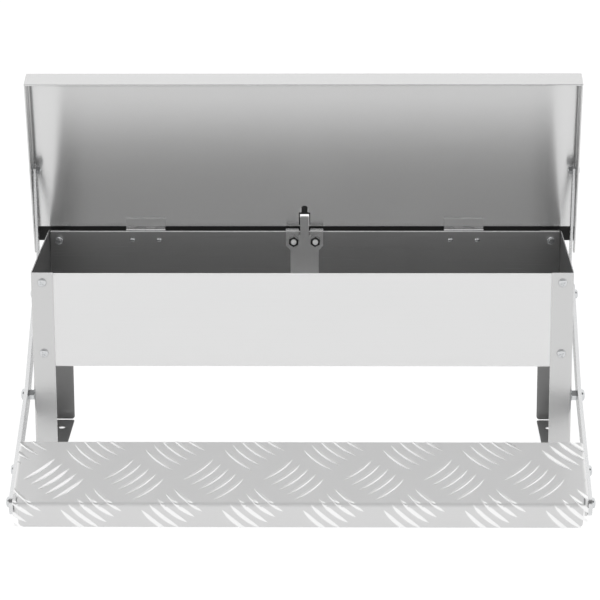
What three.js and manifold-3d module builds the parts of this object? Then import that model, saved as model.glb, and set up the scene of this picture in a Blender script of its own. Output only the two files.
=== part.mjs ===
// Treadle chicken feeder: a covered trough whose lid opens when a bird stands on the tread plate.
// Millimetres. X runs to the right, Y away from the birds, Z up; the feet stand on Z = 0.
import * as THREE from 'three';
import { mergeGeometries, mergeVertices } from 'three/addons/utils/BufferGeometryUtils.js';
import Module from 'manifold-3d';

const wasm = await Module();
wasm.setup();

// Driving dimensions of the trough and its side panels
const trough_width = 560;
const trough_depth = 180;
const rim_height = 218;
const front_wall_height = 101;
const sheet = 1.0;
const bend_radius = 2.0;
const flange_width = 23;
const front_wall_drop = 0.5;
const front_hem_depth = 4.5;
const rear_hem_depth = 18;
const hem_fold = 1.2;
const anchor_hole = 7;
const anchor_hole_inset = 30;

// Clearances shared by all pieces
const contact_gap = 0.1;
const turned_gap = 0.3;
const hole_clearance = 0.3;
const overrun = 2;

// Sheet metal screws that join the trough to the side panels
const screw_size = 5;
const screw_head_width = 9;
const screw_head_height = 2.6;
const screw_upper_drop = 10;
const screw_lower_drop = 86;
const screw_nut_across = 8;
const screw_nut_height = 4;
const screw_tip = 1.6;
const recess_length = 5;
const recess_width = 1.1;
const recess_depth = 1.5;

// Centre bracket inside the rear wall
const bracket_sheet = 2;
const bracket_head_width = 41;
const bracket_head_height = 16;
const bracket_strap_width = 31;
const bracket_length = 92;
const bracket_chamfer = 5;
const bracket_flap_reach = 8.4;
const tab_width = 9.4;
const tab_rise = 17;
const tab_relief = 1.5;
const bracket_bolt_size = 6;
const bracket_bolt_spacing = 23.6;
const bracket_bolt_drop = 10.5;
const bracket_head_across = 10;
const bracket_bolt_head = 4;
const bracket_nut_across = 10;
const bracket_nut_height = 5;
const bracket_bolt_tip = 2.5;

// Lid hinges
const hinge_spacing = 347.4;
const hinge_width = 43;
const hinge_rise = 0.5;
const hinge_leaf = 1.2;
const hinge_leaf_inset = 0.1;
const hinge_leaf_drop = 17;
const hinge_leaf_reach = 13;
const knuckle_radius = 2.6;
const knuckle_count = 4;
const knuckle_gap = 0.4;
const hinge_pin_radius = 1.3;
const hinge_pin_clearance = 0.1;
const rivet_size = 3.6;
const rivet_head_width = 6.6;
const rivet_head_height = 1.1;
const rivet_tail_width = 5.4;
const rivet_spacing = 29.2;
const lower_rivet_drop = 10.5;
const upper_rivet_reach = 8.5;

// Lid
const lid_reach = 188.2;
const lid_overhang = 15;
const lid_depth = 28.4;
const lid_sheet = 1.0;
const lid_hem_depth = 8;
const lid_open_angle = 75;
const slot_start = 3.5;
const slot_end = 19.6;
const slot_side_gap = 1.6;
const buffer_length = 8.5;
const buffer_width = 7.2;
const buffer_wall = 0.9;
const buffer_leg_start = 4.2;
const buffer_height = 3;

// Main pivot, lever arms and links
const pivot_setback = 8;
const pivot_floor_gap = 32.7;
const pivot_bolt_size = 6;
const pivot_head_width = 12.6;
const pivot_head_height = 4.2;
const pivot_clearance = 0.5;
const spacer_nut_across = 10;
const spacer_nut_height = 5;
const spacer_flange_width = 12.4;
const spacer_flange_height = 0.9;
const lock_nut_height = 5;
const bolt_tip = 2;
const arm_thickness = 4;
const arm_width = 22;
const arm_end_margin = 13.2;
const link_pivot_back = 104;
const link_pivot_rise = 80.7;
const link_thickness = 2.5;
const link_width = 14;
const link_lean = 5.8;
const link_arm_gap = 0.8;
const link_side_gap = 0.4;
const link_bolt_size = 6;
const link_bolt_head_width = 10;
const link_bolt_head_height = 3.6;
const link_tail_width = 9;
const link_tail_height = 1.4;
const lid_pivot_reach = 78;
const lid_pivot_drop = 8;
const lid_bolt_size = 5;
const lid_bolt_head_width = 9;
const lid_bolt_head_height = 2;
const lid_spacer_width = 8;
const lid_spacer_height = 1.6;
const lid_nut_across = 8;
const lid_nut_height = 4;
const lid_nut_tip = 1.2;

// Tread plate
const plate_ground_gap = 0.3;
const plate_setoff = 96.5;
const plate_depth = 93.1;
const plate_rise = 19;
const plate_sheet = 2.5;
const plate_bend = 3;
const plate_lip = 30.6;
const plate_side_depth = 29.5;
const corner_notch_width = 5.6;
const corner_notch_depth = 16;
const lip_corner_radius = 6;
const plate_bolt_size = 6;
const plate_bolt_head_width = 11;
const plate_bolt_head_height = 3.8;
const plate_nut_across = 10;
const plate_nut_height = 5;
const plate_bolt_rear = 21.3;
const plate_bolt_front = 69.3;

// Raised bars of the tread pattern, in groups of five
const bar_count = 5;
const bar_length = 43;
const bar_pitch = 10.7;
const bar_width = 4.6;
const bar_bow = 1.6;
const bar_height = 1.2;
const bar_edge_gap = 1.5;
const bar_angle = 47;
const group_pitch = 80;
const group_row_pitch = 43.8;
const group_first_row = 12;
const group_shift = -46.9;

// Places worked out from the driving dimensions
const half_trough = trough_width / 2;
const flange_centre = half_trough - flange_width / 2;
const wall_front = sheet + contact_gap;
const wall_rear = trough_depth - sheet - contact_gap;
const floor_height = rim_height - front_wall_height;
const hem_face = wall_rear - sheet - hem_fold;
const bracket_back = hem_face - contact_gap;
const bracket_front = bracket_back - bracket_sheet;
const hinge_y = wall_rear + contact_gap + knuckle_radius;
const hinge_z = rim_height + hinge_rise;
const lid_under = knuckle_radius + turned_gap;
const lid_top = lid_under + lid_sheet;
const arm_inner = half_trough + spacer_nut_height + spacer_flange_height + turned_gap;
const arm_outer = arm_inner + arm_thickness;
const head_seat = arm_outer + contact_gap;
const plate_half = arm_inner - turned_gap;
const open_turn = THREE.MathUtils.degToRad(lid_open_angle);
const pivot_height = floor_height - pivot_floor_gap;
const plate_front = plate_setoff + plate_depth;
const lip_edge = new THREE.Vector2(plate_front, plate_lip - plate_rise);
const lip_rise = pivot_height - plate_ground_gap;
const tilt_turn = Math.asin(lip_rise / lip_edge.length()) - lip_edge.angle();
const bolt_rows = [plate_setoff + plate_bolt_rear, plate_setoff + plate_bolt_front];
const arm_front_reach = bolt_rows[1] + arm_end_margin;
const link_foot_x = arm_inner - link_arm_gap - link_thickness;
const link_head_x = link_foot_x + link_lean;
const lid_wall_inner = link_head_x + link_thickness + link_side_gap + lid_spacer_height;
const half_lid = lid_wall_inner + lid_sheet;
const lid_nut_seat = link_head_x - link_side_gap;

// Link pivots in the photographed pose, in the side view
const treadle_pivot = new THREE.Vector2(pivot_setback, pivot_height);
const link_pivot = treadle_pivot.clone().add(new THREE.Vector2(link_pivot_back, link_pivot_rise));
const lid_pivot_offset = new THREE.Vector2(-lid_pivot_reach, -lid_pivot_drop);
const lid_pivot = lid_pivot_offset.clone().rotateAround(new THREE.Vector2(), -open_turn);
lid_pivot.add(new THREE.Vector2(hinge_y, hinge_z));
const link_line = lid_pivot.clone().sub(link_pivot);
const link_length = link_line.length();
const link_turn = link_line.angle() - Math.PI / 2;
const arm_rear = link_pivot.clone().sub(treadle_pivot);
arm_rear.rotateAround(new THREE.Vector2(), -tilt_turn);

// The front is the tread plate's front bend, the rear the end of the open lid's overhang
const bend_centre = new THREE.Vector2(plate_bend - plate_front, plate_rise - plate_bend);
bend_centre.rotateAround(new THREE.Vector2(), tilt_turn);
const front_reach = treadle_pivot.x + bend_centre.x - plate_bend;
const rear_reach = hinge_y + lid_overhang * Math.cos(open_turn) + lid_top * Math.sin(open_turn);
const centre_y = (front_reach + rear_reach) / 2;

// Finishes
const stainless = { color: 0xc9cccd, roughness: 0.32, metalness: 1.0 };
const brushed = { color: 0xb9bcbe, roughness: 0.38, metalness: 1.0 };
const tread = { color: 0xd7d9da, roughness: 0.3, metalness: 1.0 };
const zinc = { color: 0xb4b6b8, roughness: 0.35, metalness: 1.0 };
const rubber = { color: 0x141414, roughness: 0.75, metalness: 0.0 };

// Turns a closed geometry into a solid that can be joined and cut
function solid(geometry) {
  const bare = geometry.clone();
  bare.deleteAttribute('normal');
  bare.deleteAttribute('uv');
  const merged = mergeVertices(bare);
  const vertProperties = new Float32Array(merged.attributes.position.array);
  const triVerts = new Uint32Array(merged.index.array);
  return new wasm.Manifold(new wasm.Mesh({ numProp: 3, vertProperties, triVerts }));
}

// Turns a solid back into a geometry
function shapeOf(body) {
  const mesh = body.getMesh();
  const geometry = new THREE.BufferGeometry();
  geometry.setAttribute('position', new THREE.BufferAttribute(mesh.vertProperties, 3));
  geometry.setIndex(new THREE.BufferAttribute(mesh.triVerts, 1));
  return geometry;
}

// Joins a list of solids
function joined(bodies) {
  return bodies.reduce((sum, body) => sum.add(body));
}

// Mirrors a geometry to the left side and keeps its faces pointing out
function mirrored(geometry) {
  const copy = geometry.clone();
  copy.scale(-1, 1, 1);
  const order = copy.index.array;
  for (let i = 0; i < order.length; i += 3) {
    [order[i], order[i + 1]] = [order[i + 1], order[i]];
  }
  return copy;
}

// Two values with the smaller one first
function span(a, b) {
  return [Math.min(a, b), Math.max(a, b)];
}

// A box between two corners
function block(low, high) {
  const size = high.map((value, i) => value - low[i]);
  const middle = high.map((value, i) => (value + low[i]) / 2);
  const geometry = new THREE.BoxGeometry(...size);
  geometry.translate(...middle);
  return solid(geometry);
}

// The closed outline of a folded strip: the path is one face, the sheet lies on its left
function foldedOutline(path, thickness, radius, steps = 3) {
  const face = [];
  const back = [];
  const points = path.map(([a, b]) => new THREE.Vector2(a, b));
  points.forEach((point, i) => {
    const before = points[i - 1];
    const after = points[i + 1];
    const heading = (after ?? point).clone().sub(after ? point : before).normalize();
    const left = new THREE.Vector2(-heading.y, heading.x);
    if (!before || !after) {
      face.push(point);
      back.push(point.clone().addScaledVector(left, thickness));
      return;
    }
    const arrival = point.clone().sub(before).normalize();
    const arrivalLeft = new THREE.Vector2(-arrival.y, arrival.x);
    const turn = Math.atan2(arrival.cross(heading), arrival.dot(heading));
    const side = Math.sign(turn);
    const faceRadius = side > 0 ? radius : radius - thickness;
    const backRadius = side > 0 ? radius - thickness : radius;
    const setback = faceRadius * Math.tan(Math.abs(turn) / 2);
    const centre = point.clone().addScaledVector(arrival, -setback);
    centre.addScaledVector(arrivalLeft, side * faceRadius);
    const start = Math.atan2(-side * arrivalLeft.y, -side * arrivalLeft.x);
    for (let k = 0; k <= steps; k += 1) {
      const angle = start + (turn * k) / steps;
      const ray = new THREE.Vector2(Math.cos(angle), Math.sin(angle));
      face.push(centre.clone().addScaledVector(ray, faceRadius));
      back.push(centre.clone().addScaledVector(ray, backRadius));
    }
  });
  return new THREE.Shape([...face, ...back.reverse()]);
}

// Extrudes a flat outline along Z, with sharp edges
function extruded(shape, depth, curveSegments) {
  return new THREE.ExtrudeGeometry(shape, { depth, bevelEnabled: false, curveSegments });
}

const axis_x = new THREE.Vector3(1, 0, 0);
const axis_y = new THREE.Vector3(0, 1, 0);
const axis_z = new THREE.Vector3(0, 0, 1);

// Extrudes a side view (Y, Z) along X, between two X values
function alongX(shape, from, to, curveSegments = 8) {
  const geometry = extruded(shape, to - from, curveSegments);
  geometry.applyMatrix4(new THREE.Matrix4().makeBasis(axis_y, axis_z, axis_x));
  geometry.translate(from, 0, 0);
  return solid(geometry);
}

// Extrudes a front view (X, Z) along Y, between two Y values
function alongY(shape, from, to, curveSegments = 8) {
  const geometry = extruded(shape, to - from, curveSegments);
  geometry.applyMatrix4(new THREE.Matrix4().makeBasis(axis_x, axis_z, axis_y.clone().negate()));
  geometry.translate(0, to, 0);
  return solid(geometry);
}

// Extrudes a plan view (X, Y) along Z, between two Z values
function alongZ(shape, from, to, curveSegments = 8) {
  const geometry = extruded(shape, to - from, curveSegments);
  geometry.translate(0, 0, from);
  return solid(geometry);
}

// A turned piece about X: the profile lists [x, radius] from one end to the other
function turnedX(profile, y, z, segments = 12) {
  const ends = [[profile[0][0], 0], ...profile, [profile.at(-1)[0], 0]];
  const points = ends.map(([x, radius]) => new THREE.Vector2(radius, x));
  const geometry = new THREE.LatheGeometry(points, segments);
  geometry.applyMatrix4(new THREE.Matrix4().makeBasis(axis_y, axis_x, axis_z.clone().negate()));
  geometry.translate(0, y, z);
  return solid(geometry);
}

// A turned piece about Y: the profile lists [y, radius]
function turnedY(profile, x, z, segments = 12) {
  const ends = [[profile[0][0], 0], ...profile, [profile.at(-1)[0], 0]];
  const points = ends.map(([y, radius]) => new THREE.Vector2(radius, y));
  const geometry = new THREE.LatheGeometry(points, segments);
  geometry.translate(x, 0, z);
  return solid(geometry);
}

// A turned piece about Z: the profile lists [z, radius]
function turnedZ(profile, x, y, segments = 12) {
  const ends = [[profile[0][0], 0], ...profile, [profile.at(-1)[0], 0]];
  const points = ends.map(([z, radius]) => new THREE.Vector2(radius, z));
  const geometry = new THREE.LatheGeometry(points, segments);
  geometry.rotateX(Math.PI / 2);
  geometry.translate(x, y, 0);
  return solid(geometry);
}

// Corner radius of a hexagon with this width across its flats
function hexRadius(across) {
  return across / Math.sqrt(3);
}

// The low dome of a pan head, as steps of its height and width
const dome_height_shares = [0, 0.5, 1];
const dome_width_shares = [1, 1, 0.68];

function domeProfile(seat, height, width) {
  return dome_height_shares.map((share, i) => [seat + height * share, (width / 2) * dome_width_shares[i]]);
}

// The same profile, listed from its lower end to its upper end
function ascending(profile) {
  return profile[0][0] > profile.at(-1)[0] ? profile.toReversed() : profile;
}

// Adds a mesh to a group
function piece(group, name, geometry, finish) {
  const mesh = new THREE.Mesh(geometry, new THREE.MeshStandardMaterial(finish));
  mesh.name = name;
  group.add(mesh);
}

// Adds a right-hand piece and its mirror image
function pair(group, name, geometry, finish) {
  piece(group, `${name}_right`, geometry, finish);
  piece(group, `${name}_left`, mirrored(geometry), finish);
}

const screw_heights = { upper: rim_height - screw_upper_drop, lower: rim_height - screw_lower_drop };

// Side panel: one folded sheet with front, rear and foot flanges
function sidePanel() {
  const inner = half_trough - flange_width;
  const path = [[inner, 0], [half_trough, 0], [half_trough, trough_depth], [inner, trough_depth]];
  const wall = alongZ(foldedOutline(path, sheet, bend_radius), 0, rim_height + front_wall_drop);
  const relief = bend_radius;
  const foot = block([inner, relief, 0], [half_trough - sheet / 2, trough_depth - relief, sheet]);
  const screwHole = (screw_size + hole_clearance) / 2;
  const cuts = Object.values(screw_heights).map((z) => {
    return turnedY([[-overrun, screwHole], [trough_depth + overrun, screwHole]], flange_centre, z);
  });
  const pivotHole = (pivot_bolt_size + pivot_clearance) / 2;
  const webEnds = [[half_trough - sheet - overrun, pivotHole], [half_trough + overrun, pivotHole]];
  cuts.push(turnedX(webEnds, pivot_setback, pivot_height));
  for (const y of [anchor_hole_inset, trough_depth - anchor_hole_inset]) {
    cuts.push(turnedZ([[-overrun, anchor_hole / 2], [sheet + overrun, anchor_hole / 2]], flange_centre, y));
  }
  return shapeOf(wall.add(foot).subtract(joined(cuts)));
}

// Trough body: front wall, floor and rear wall in one sheet, both upper edges hemmed inwards
function troughBody() {
  const front_top = rim_height - front_wall_drop;
  const path = [
    [wall_front, front_top],
    [wall_front, floor_height],
    [wall_rear, floor_height],
    [wall_rear, rim_height],
  ];
  const half = half_trough - bend_radius - contact_gap;
  const shell = alongX(foldedOutline(path, sheet, bend_radius), -half, half);
  const frontFace = wall_front + sheet;
  const frontHem = block(
    [-half, frontFace - sheet / 2, front_top - front_hem_depth],
    [half, frontFace + hem_fold, front_top],
  );
  const rearHem = block(
    [-half, hem_face, rim_height - rear_hem_depth],
    [half, wall_rear - sheet / 2, rim_height],
  );
  const screwHole = (screw_size + hole_clearance) / 2;
  const cuts = [];
  for (const x of [-flange_centre, flange_centre]) {
    for (const z of Object.values(screw_heights)) {
      cuts.push(turnedY([[-overrun, screwHole], [trough_depth + overrun, screwHole]], x, z));
    }
  }
  const boltHole = (bracket_bolt_size + hole_clearance) / 2;
  for (const x of [-bracket_bolt_spacing / 2, bracket_bolt_spacing / 2]) {
    const ends = [[hem_face - overrun, boltHole], [wall_rear + overrun, boltHole]];
    cuts.push(turnedY(ends, x, rim_height - bracket_bolt_drop));
  }
  const rivetHole = (rivet_size + hole_clearance) / 2;
  for (const x of rivetPlaces()) {
    const ends = [[hem_face - overrun, rivetHole], [wall_rear + overrun, rivetHole]];
    cuts.push(turnedY(ends, x, hinge_z - lower_rivet_drop));
    cuts.push(turnedY(ends, -x, hinge_z - lower_rivet_drop));
  }
  return shapeOf(shell.add(frontHem).add(rearHem).subtract(joined(cuts)));
}

// X places of the two rivets of the right-hand hinge
function rivetPlaces() {
  return [hinge_spacing / 2 - rivet_spacing / 2, hinge_spacing / 2 + rivet_spacing / 2];
}

// Cross recess in a screw head that faces -Y at this seat
function crossRecess(x, y, z) {
  const long = recess_length / 2;
  const narrow = recess_width / 2;
  const flat = block([x - long, y - overrun, z - narrow], [x + long, y + recess_depth, z + narrow]);
  const upright = block([x - narrow, y - overrun, z - long], [x + narrow, y + recess_depth, z + long]);
  return flat.add(upright);
}

// Pan head screw with its nut, through a flange and the trough wall at the front or the rear
function cornerScrew(facing, z, extra) {
  const outside = facing < 0 ? -contact_gap : trough_depth + contact_gap;
  const reach = sheet * 2 + contact_gap * 3 + extra;
  const inside = outside - facing * reach;
  const tip = inside - facing * (screw_nut_height + screw_tip);
  const shank = [[tip, screw_size / 2], [outside, screw_size / 2]];
  const head = domeProfile(0, screw_head_height, screw_head_width);
  const headProfile = head.map(([y, radius]) => [outside + facing * y, radius]);
  const nutRadius = hexRadius(screw_nut_across);
  const nut = ascending([[inside, nutRadius], [inside - facing * screw_nut_height, nutRadius]]);
  const screw = turnedY(ascending([...shank, ...headProfile]), flange_centre, z, 12);
  const body = screw.add(turnedY(nut, flange_centre, z, 6));
  if (facing > 0) {
    return shapeOf(body);
  }
  return shapeOf(body.subtract(crossRecess(flange_centre, outside - screw_head_height, z)));
}

// Centre bracket: head and strap inside the rear wall, flaps over the rim, upright tab
function centreBracket() {
  const head = bracket_head_width / 2;
  const strap = bracket_strap_width / 2;
  const tab = tab_width / 2;
  const shoulder = rim_height - bracket_head_height;
  const foot = rim_height - bracket_length;
  const top = rim_height + tab_rise;
  const flapTop = rim_height + turned_gap + bracket_sheet;
  const outline = new THREE.Shape([
    new THREE.Vector2(-strap, foot),
    new THREE.Vector2(strap, foot),
    new THREE.Vector2(strap, shoulder - bracket_chamfer),
    new THREE.Vector2(head, shoulder),
    new THREE.Vector2(head, rim_height - bracket_sheet),
    new THREE.Vector2(tab + tab_relief, rim_height - bracket_sheet),
    new THREE.Vector2(tab + tab_relief, rim_height - bracket_sheet * 2),
    new THREE.Vector2(tab, rim_height - bracket_sheet * 2),
    new THREE.Vector2(tab, top),
    new THREE.Vector2(-tab, top),
    new THREE.Vector2(-tab, rim_height - bracket_sheet * 2),
    new THREE.Vector2(-tab - tab_relief, rim_height - bracket_sheet * 2),
    new THREE.Vector2(-tab - tab_relief, rim_height - bracket_sheet),
    new THREE.Vector2(-head, rim_height - bracket_sheet),
    new THREE.Vector2(-head, shoulder),
    new THREE.Vector2(-strap, shoulder - bracket_chamfer),
  ]);
  const plate = alongY(outline, bracket_front, bracket_back);
  const flapPath = [
    [bracket_front + bracket_flap_reach, flapTop],
    [bracket_front, flapTop],
    [bracket_front, rim_height - bracket_sheet * 2],
  ];
  const flap = foldedOutline(flapPath, bracket_sheet, bracket_sheet + contact_gap);
  const flaps = alongX(flap, tab + tab_relief, head).add(alongX(flap, -head, -tab - tab_relief));
  const hole = (bracket_bolt_size + hole_clearance) / 2;
  const ends = [[bracket_front - overrun, hole], [bracket_back + overrun, hole]];
  const z = rim_height - bracket_bolt_drop;
  const cuts = turnedY(ends, -bracket_bolt_spacing / 2, z).add(turnedY(ends, bracket_bolt_spacing / 2, z));
  return shapeOf(plate.add(flaps).subtract(cuts));
}

// Bolt of the centre bracket: head behind the rear wall, tip inside the trough
function bracketBolt() {
  const seat = wall_rear + contact_gap;
  const tip = bracket_front - contact_gap - bracket_nut_height - bracket_bolt_tip;
  const x = bracket_bolt_spacing / 2;
  const z = rim_height - bracket_bolt_drop;
  const shank = turnedY([[tip, bracket_bolt_size / 2], [seat, bracket_bolt_size / 2]], x, z);
  const corner = hexRadius(bracket_head_across);
  return shapeOf(shank.add(turnedY([[seat, corner], [seat + bracket_bolt_head, corner]], x, z, 6)));
}

// Nut of the centre bracket
function bracketNut() {
  const seat = bracket_front - contact_gap;
  const corner = hexRadius(bracket_nut_across);
  const bore = (bracket_bolt_size + contact_gap * 2) / 2;
  const x = bracket_bolt_spacing / 2;
  const z = rim_height - bracket_bolt_drop;
  const nut = turnedY([[seat - bracket_nut_height, corner], [seat, corner]], x, z, 6);
  const hole = turnedY([[seat - bracket_nut_height - overrun, bore], [seat + overrun, bore]], x, z);
  return shapeOf(nut.subtract(hole));
}

// X ranges of the knuckles of one leaf, counted from the hinge's outer end
function knuckleSpans(first) {
  const pitch = hinge_width / knuckle_count;
  const start = hinge_spacing / 2 - hinge_width / 2;
  const spans = [];
  for (let i = first; i < knuckle_count; i += 2) {
    spans.push([start + pitch * i + knuckle_gap / 2, start + pitch * (i + 1) - knuckle_gap / 2]);
  }
  return spans;
}

// Hinge leaf in a frame whose origin is the hinge axis: the leaf hangs down, tangent to its knuckles
function hingeLeaf(first, drop, rivetDrop) {
  const left = hinge_spacing / 2 - hinge_width / 2;
  const right = hinge_spacing / 2 + hinge_width / 2;
  const top = -knuckle_radius - turned_gap;
  const face = hinge_leaf_inset - knuckle_radius;
  const bodies = [block([left, face, -drop], [right, face + hinge_leaf, top])];
  const bore = hinge_pin_radius + hinge_pin_clearance;
  const cuts = [];
  for (const [from, to] of knuckleSpans(first)) {
    bodies.push(block([from, face, top - hinge_leaf], [to, face + hinge_leaf, 0]));
    bodies.push(turnedX([[from, knuckle_radius], [to, knuckle_radius]], 0, 0, 16));
    cuts.push(turnedX([[from - overrun, bore], [to + overrun, bore]], 0, 0, 12));
  }
  const hole = (rivet_size + hole_clearance) / 2;
  for (const x of rivetPlaces()) {
    cuts.push(turnedY([[-knuckle_radius - overrun, hole], [overrun, hole]], x, -rivetDrop, 12));
  }
  return shapeOf(joined(bodies).subtract(joined(cuts)));
}

// Hinge pin
function hingePin() {
  const left = hinge_spacing / 2 - hinge_width / 2;
  const right = hinge_spacing / 2 + hinge_width / 2;
  return shapeOf(turnedX([[left, hinge_pin_radius], [right, hinge_pin_radius]], 0, 0, 12));
}

// Rivet along Y: a domed head at the seat, a shank through the grip, and a formed tail
function rivet(x, z, seat, grip) {
  const tailSeat = seat - grip;
  const tail = [[tailSeat - rivet_head_height, rivet_tail_width / 2], [tailSeat, rivet_tail_width / 2]];
  const shank = [[tailSeat, rivet_size / 2], [seat, rivet_size / 2]];
  const head = domeProfile(seat, rivet_head_height, rivet_head_width);
  return shapeOf(turnedY([...tail, ...shank, ...head], x, z));
}

// Lid shell in its closed frame, origin on the hinge axis
function lidShell() {
  const edge = lid_top - lid_depth;
  const lipPath = [[lid_overhang, lid_top], [-lid_reach, lid_top], [-lid_reach, edge]];
  const sheetAndLip = alongX(foldedOutline(lipPath, lid_sheet, bend_radius), -half_lid, half_lid);
  const wallPath = [[half_lid, edge], [half_lid, lid_top], [-half_lid, lid_top], [-half_lid, edge]];
  const lipBack = lid_sheet - lid_reach;
  const walls = alongY(foldedOutline(wallPath, lid_sheet, bend_radius), lipBack, lid_overhang);
  const hemTop = edge + lid_hem_depth;
  const wallMiddle = half_lid - lid_sheet / 2;
  const hems = [
    block([lid_wall_inner - hem_fold, lipBack, edge], [wallMiddle, lid_overhang, hemTop]),
    block([-wallMiddle, lipBack, edge], [hem_fold - lid_wall_inner, lid_overhang, hemTop]),
    block([-lid_wall_inner, lipBack - lid_sheet / 2, edge], [lid_wall_inner, lipBack + hem_fold, hemTop]),
  ];
  const slotHalf = tab_width / 2 + slot_side_gap;
  const keyHalf = buffer_width / 2 + turned_gap;
  const keyEnd = slot_end + buffer_length;
  const below = lid_under - overrun;
  const above = lid_top + overrun;
  const cuts = [
    block([-slotHalf, -slot_end, below], [slotHalf, -slot_start, above]),
    block([-keyHalf, keyHalf - keyEnd, below], [keyHalf, -slot_start - turned_gap, above]),
    turnedZ([[below, keyHalf], [above, keyHalf]], 0, keyHalf - keyEnd, 24),
  ];
  const boltHole = (lid_bolt_size + hole_clearance) / 2;
  for (const side of [-1, 1]) {
    const wall = side * half_lid;
    const ends = [[wall - lid_sheet - overrun, boltHole], [wall + lid_sheet + overrun, boltHole]];
    cuts.push(turnedX(ends, -lid_pivot_reach, -lid_pivot_drop));
  }
  const rivetHole = (rivet_size + hole_clearance) / 2;
  for (const x of rivetPlaces()) {
    cuts.push(turnedZ([[below, rivetHole], [above, rivetHole]], x, upper_rivet_reach, 12));
    cuts.push(turnedZ([[below, rivetHole], [above, rivetHole]], -x, upper_rivet_reach, 12));
  }
  return shapeOf(joined([sheetAndLip, walls, ...hems]).subtract(joined(cuts)));
}

// Rubber buffer that lines the slot and fills its rounded end
function slotBuffer() {
  const outer = tab_width / 2 + slot_side_gap - turned_gap;
  const inner = outer - buffer_wall;
  const key = buffer_width / 2;
  const shoulder = slot_end - turned_gap;
  const end = slot_end + buffer_length - turned_gap;
  const outline = new THREE.Shape();
  outline.moveTo(-outer, -buffer_leg_start);
  outline.lineTo(-outer, -shoulder);
  outline.lineTo(-key, -shoulder);
  outline.lineTo(-key, key - end);
  outline.absarc(0, key - end, key, Math.PI, Math.PI * 2, false);
  outline.lineTo(key, -shoulder);
  outline.lineTo(outer, -shoulder);
  outline.lineTo(outer, -buffer_leg_start);
  outline.lineTo(inner, -buffer_leg_start);
  outline.lineTo(inner, buffer_wall - shoulder);
  outline.lineTo(-inner, buffer_wall - shoulder);
  outline.lineTo(-inner, -buffer_leg_start);
  const middle = (lid_under + lid_top) / 2;
  return shapeOf(alongZ(outline, middle - buffer_height / 2, middle + buffer_height / 2, 8));
}

// Bolt through the lid's side wall, its spacer and the upper end of the link
function lidBolt() {
  const tip = lid_nut_seat - lid_nut_height - lid_nut_tip;
  const spacerSeat = lid_wall_inner - contact_gap;
  const spacerEnd = spacerSeat - lid_spacer_height;
  const head = domeProfile(half_lid + contact_gap, lid_bolt_head_height, lid_bolt_head_width);
  const inner = [[tip, lid_bolt_size / 2], [spacerEnd, lid_bolt_size / 2]];
  const spacer = [[spacerEnd, lid_spacer_width / 2], [spacerSeat, lid_spacer_width / 2]];
  const shank = [[spacerSeat, lid_bolt_size / 2], [half_lid + contact_gap, lid_bolt_size / 2]];
  const profile = [...inner, ...spacer, ...shank, ...head];
  return shapeOf(turnedX(profile, -lid_pivot_reach, -lid_pivot_drop));
}

// Nut of the lid's bolt, on the inner side of the link
function lidNut() {
  const end = lid_nut_seat - lid_nut_height;
  const corner = hexRadius(lid_nut_across);
  const bore = (lid_bolt_size + contact_gap * 2) / 2;
  const nut = turnedX([[end, corner], [lid_nut_seat, corner]], -lid_pivot_reach, -lid_pivot_drop, 6);
  const holeEnds = [[end - overrun, bore], [lid_nut_seat + overrun, bore]];
  return shapeOf(nut.subtract(turnedX(holeEnds, -lid_pivot_reach, -lid_pivot_drop)));
}

// Flat bar outline with round ends, from the origin along the side view's second axis
function barOutline(length, width) {
  const radius = width / 2;
  const outline = new THREE.Shape();
  outline.absarc(0, 0, radius, Math.PI, Math.PI * 2, false);
  outline.absarc(0, length, radius, 0, Math.PI, false);
  return outline;
}

// Link: a flat bar that leans outwards from the arm to the lid's side wall
function link() {
  const bar = alongX(barOutline(link_length, link_width), 0, link_thickness, 8);
  const ends = (radius) => [[-overrun, radius], [link_thickness + overrun, radius]];
  const foot = turnedX(ends((link_bolt_size + hole_clearance) / 2), 0, 0);
  const head = turnedX(ends((lid_bolt_size + pivot_clearance) / 2), 0, link_length);
  const geometry = shapeOf(bar.subtract(foot).subtract(head));
  const lean = link_lean / link_length;
  const shear = new THREE.Matrix4().set(1, 0, lean, link_foot_x, 0, 1, 0, 0, 0, 0, 1, 0, 0, 0, 0, 1);
  geometry.applyMatrix4(shear);
  return geometry;
}

// Rivet at the lower end of a link: a formed tail on the inner side, a shank that reaches to the arm
function linkRivet() {
  const tailSeat = link_foot_x - link_side_gap;
  const tail = [[tailSeat - link_tail_height, link_tail_width / 2], [tailSeat, link_tail_width / 2]];
  const shank = [[tailSeat, link_bolt_size / 2], [arm_inner - turned_gap, link_bolt_size / 2]];
  return shapeOf(turnedX([...tail, ...shank], 0, 0));
}

// The outer half of that rivet, which rides the arm: a head and a shank that ends at the arm's inner face
function linkBolt() {
  const head = domeProfile(head_seat, link_bolt_head_height, link_bolt_head_width);
  const shank = [[arm_inner, link_bolt_size / 2], [head_seat, link_bolt_size / 2]];
  return shapeOf(turnedX([...shank, ...head], arm_rear.x, arm_rear.y));
}

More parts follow.
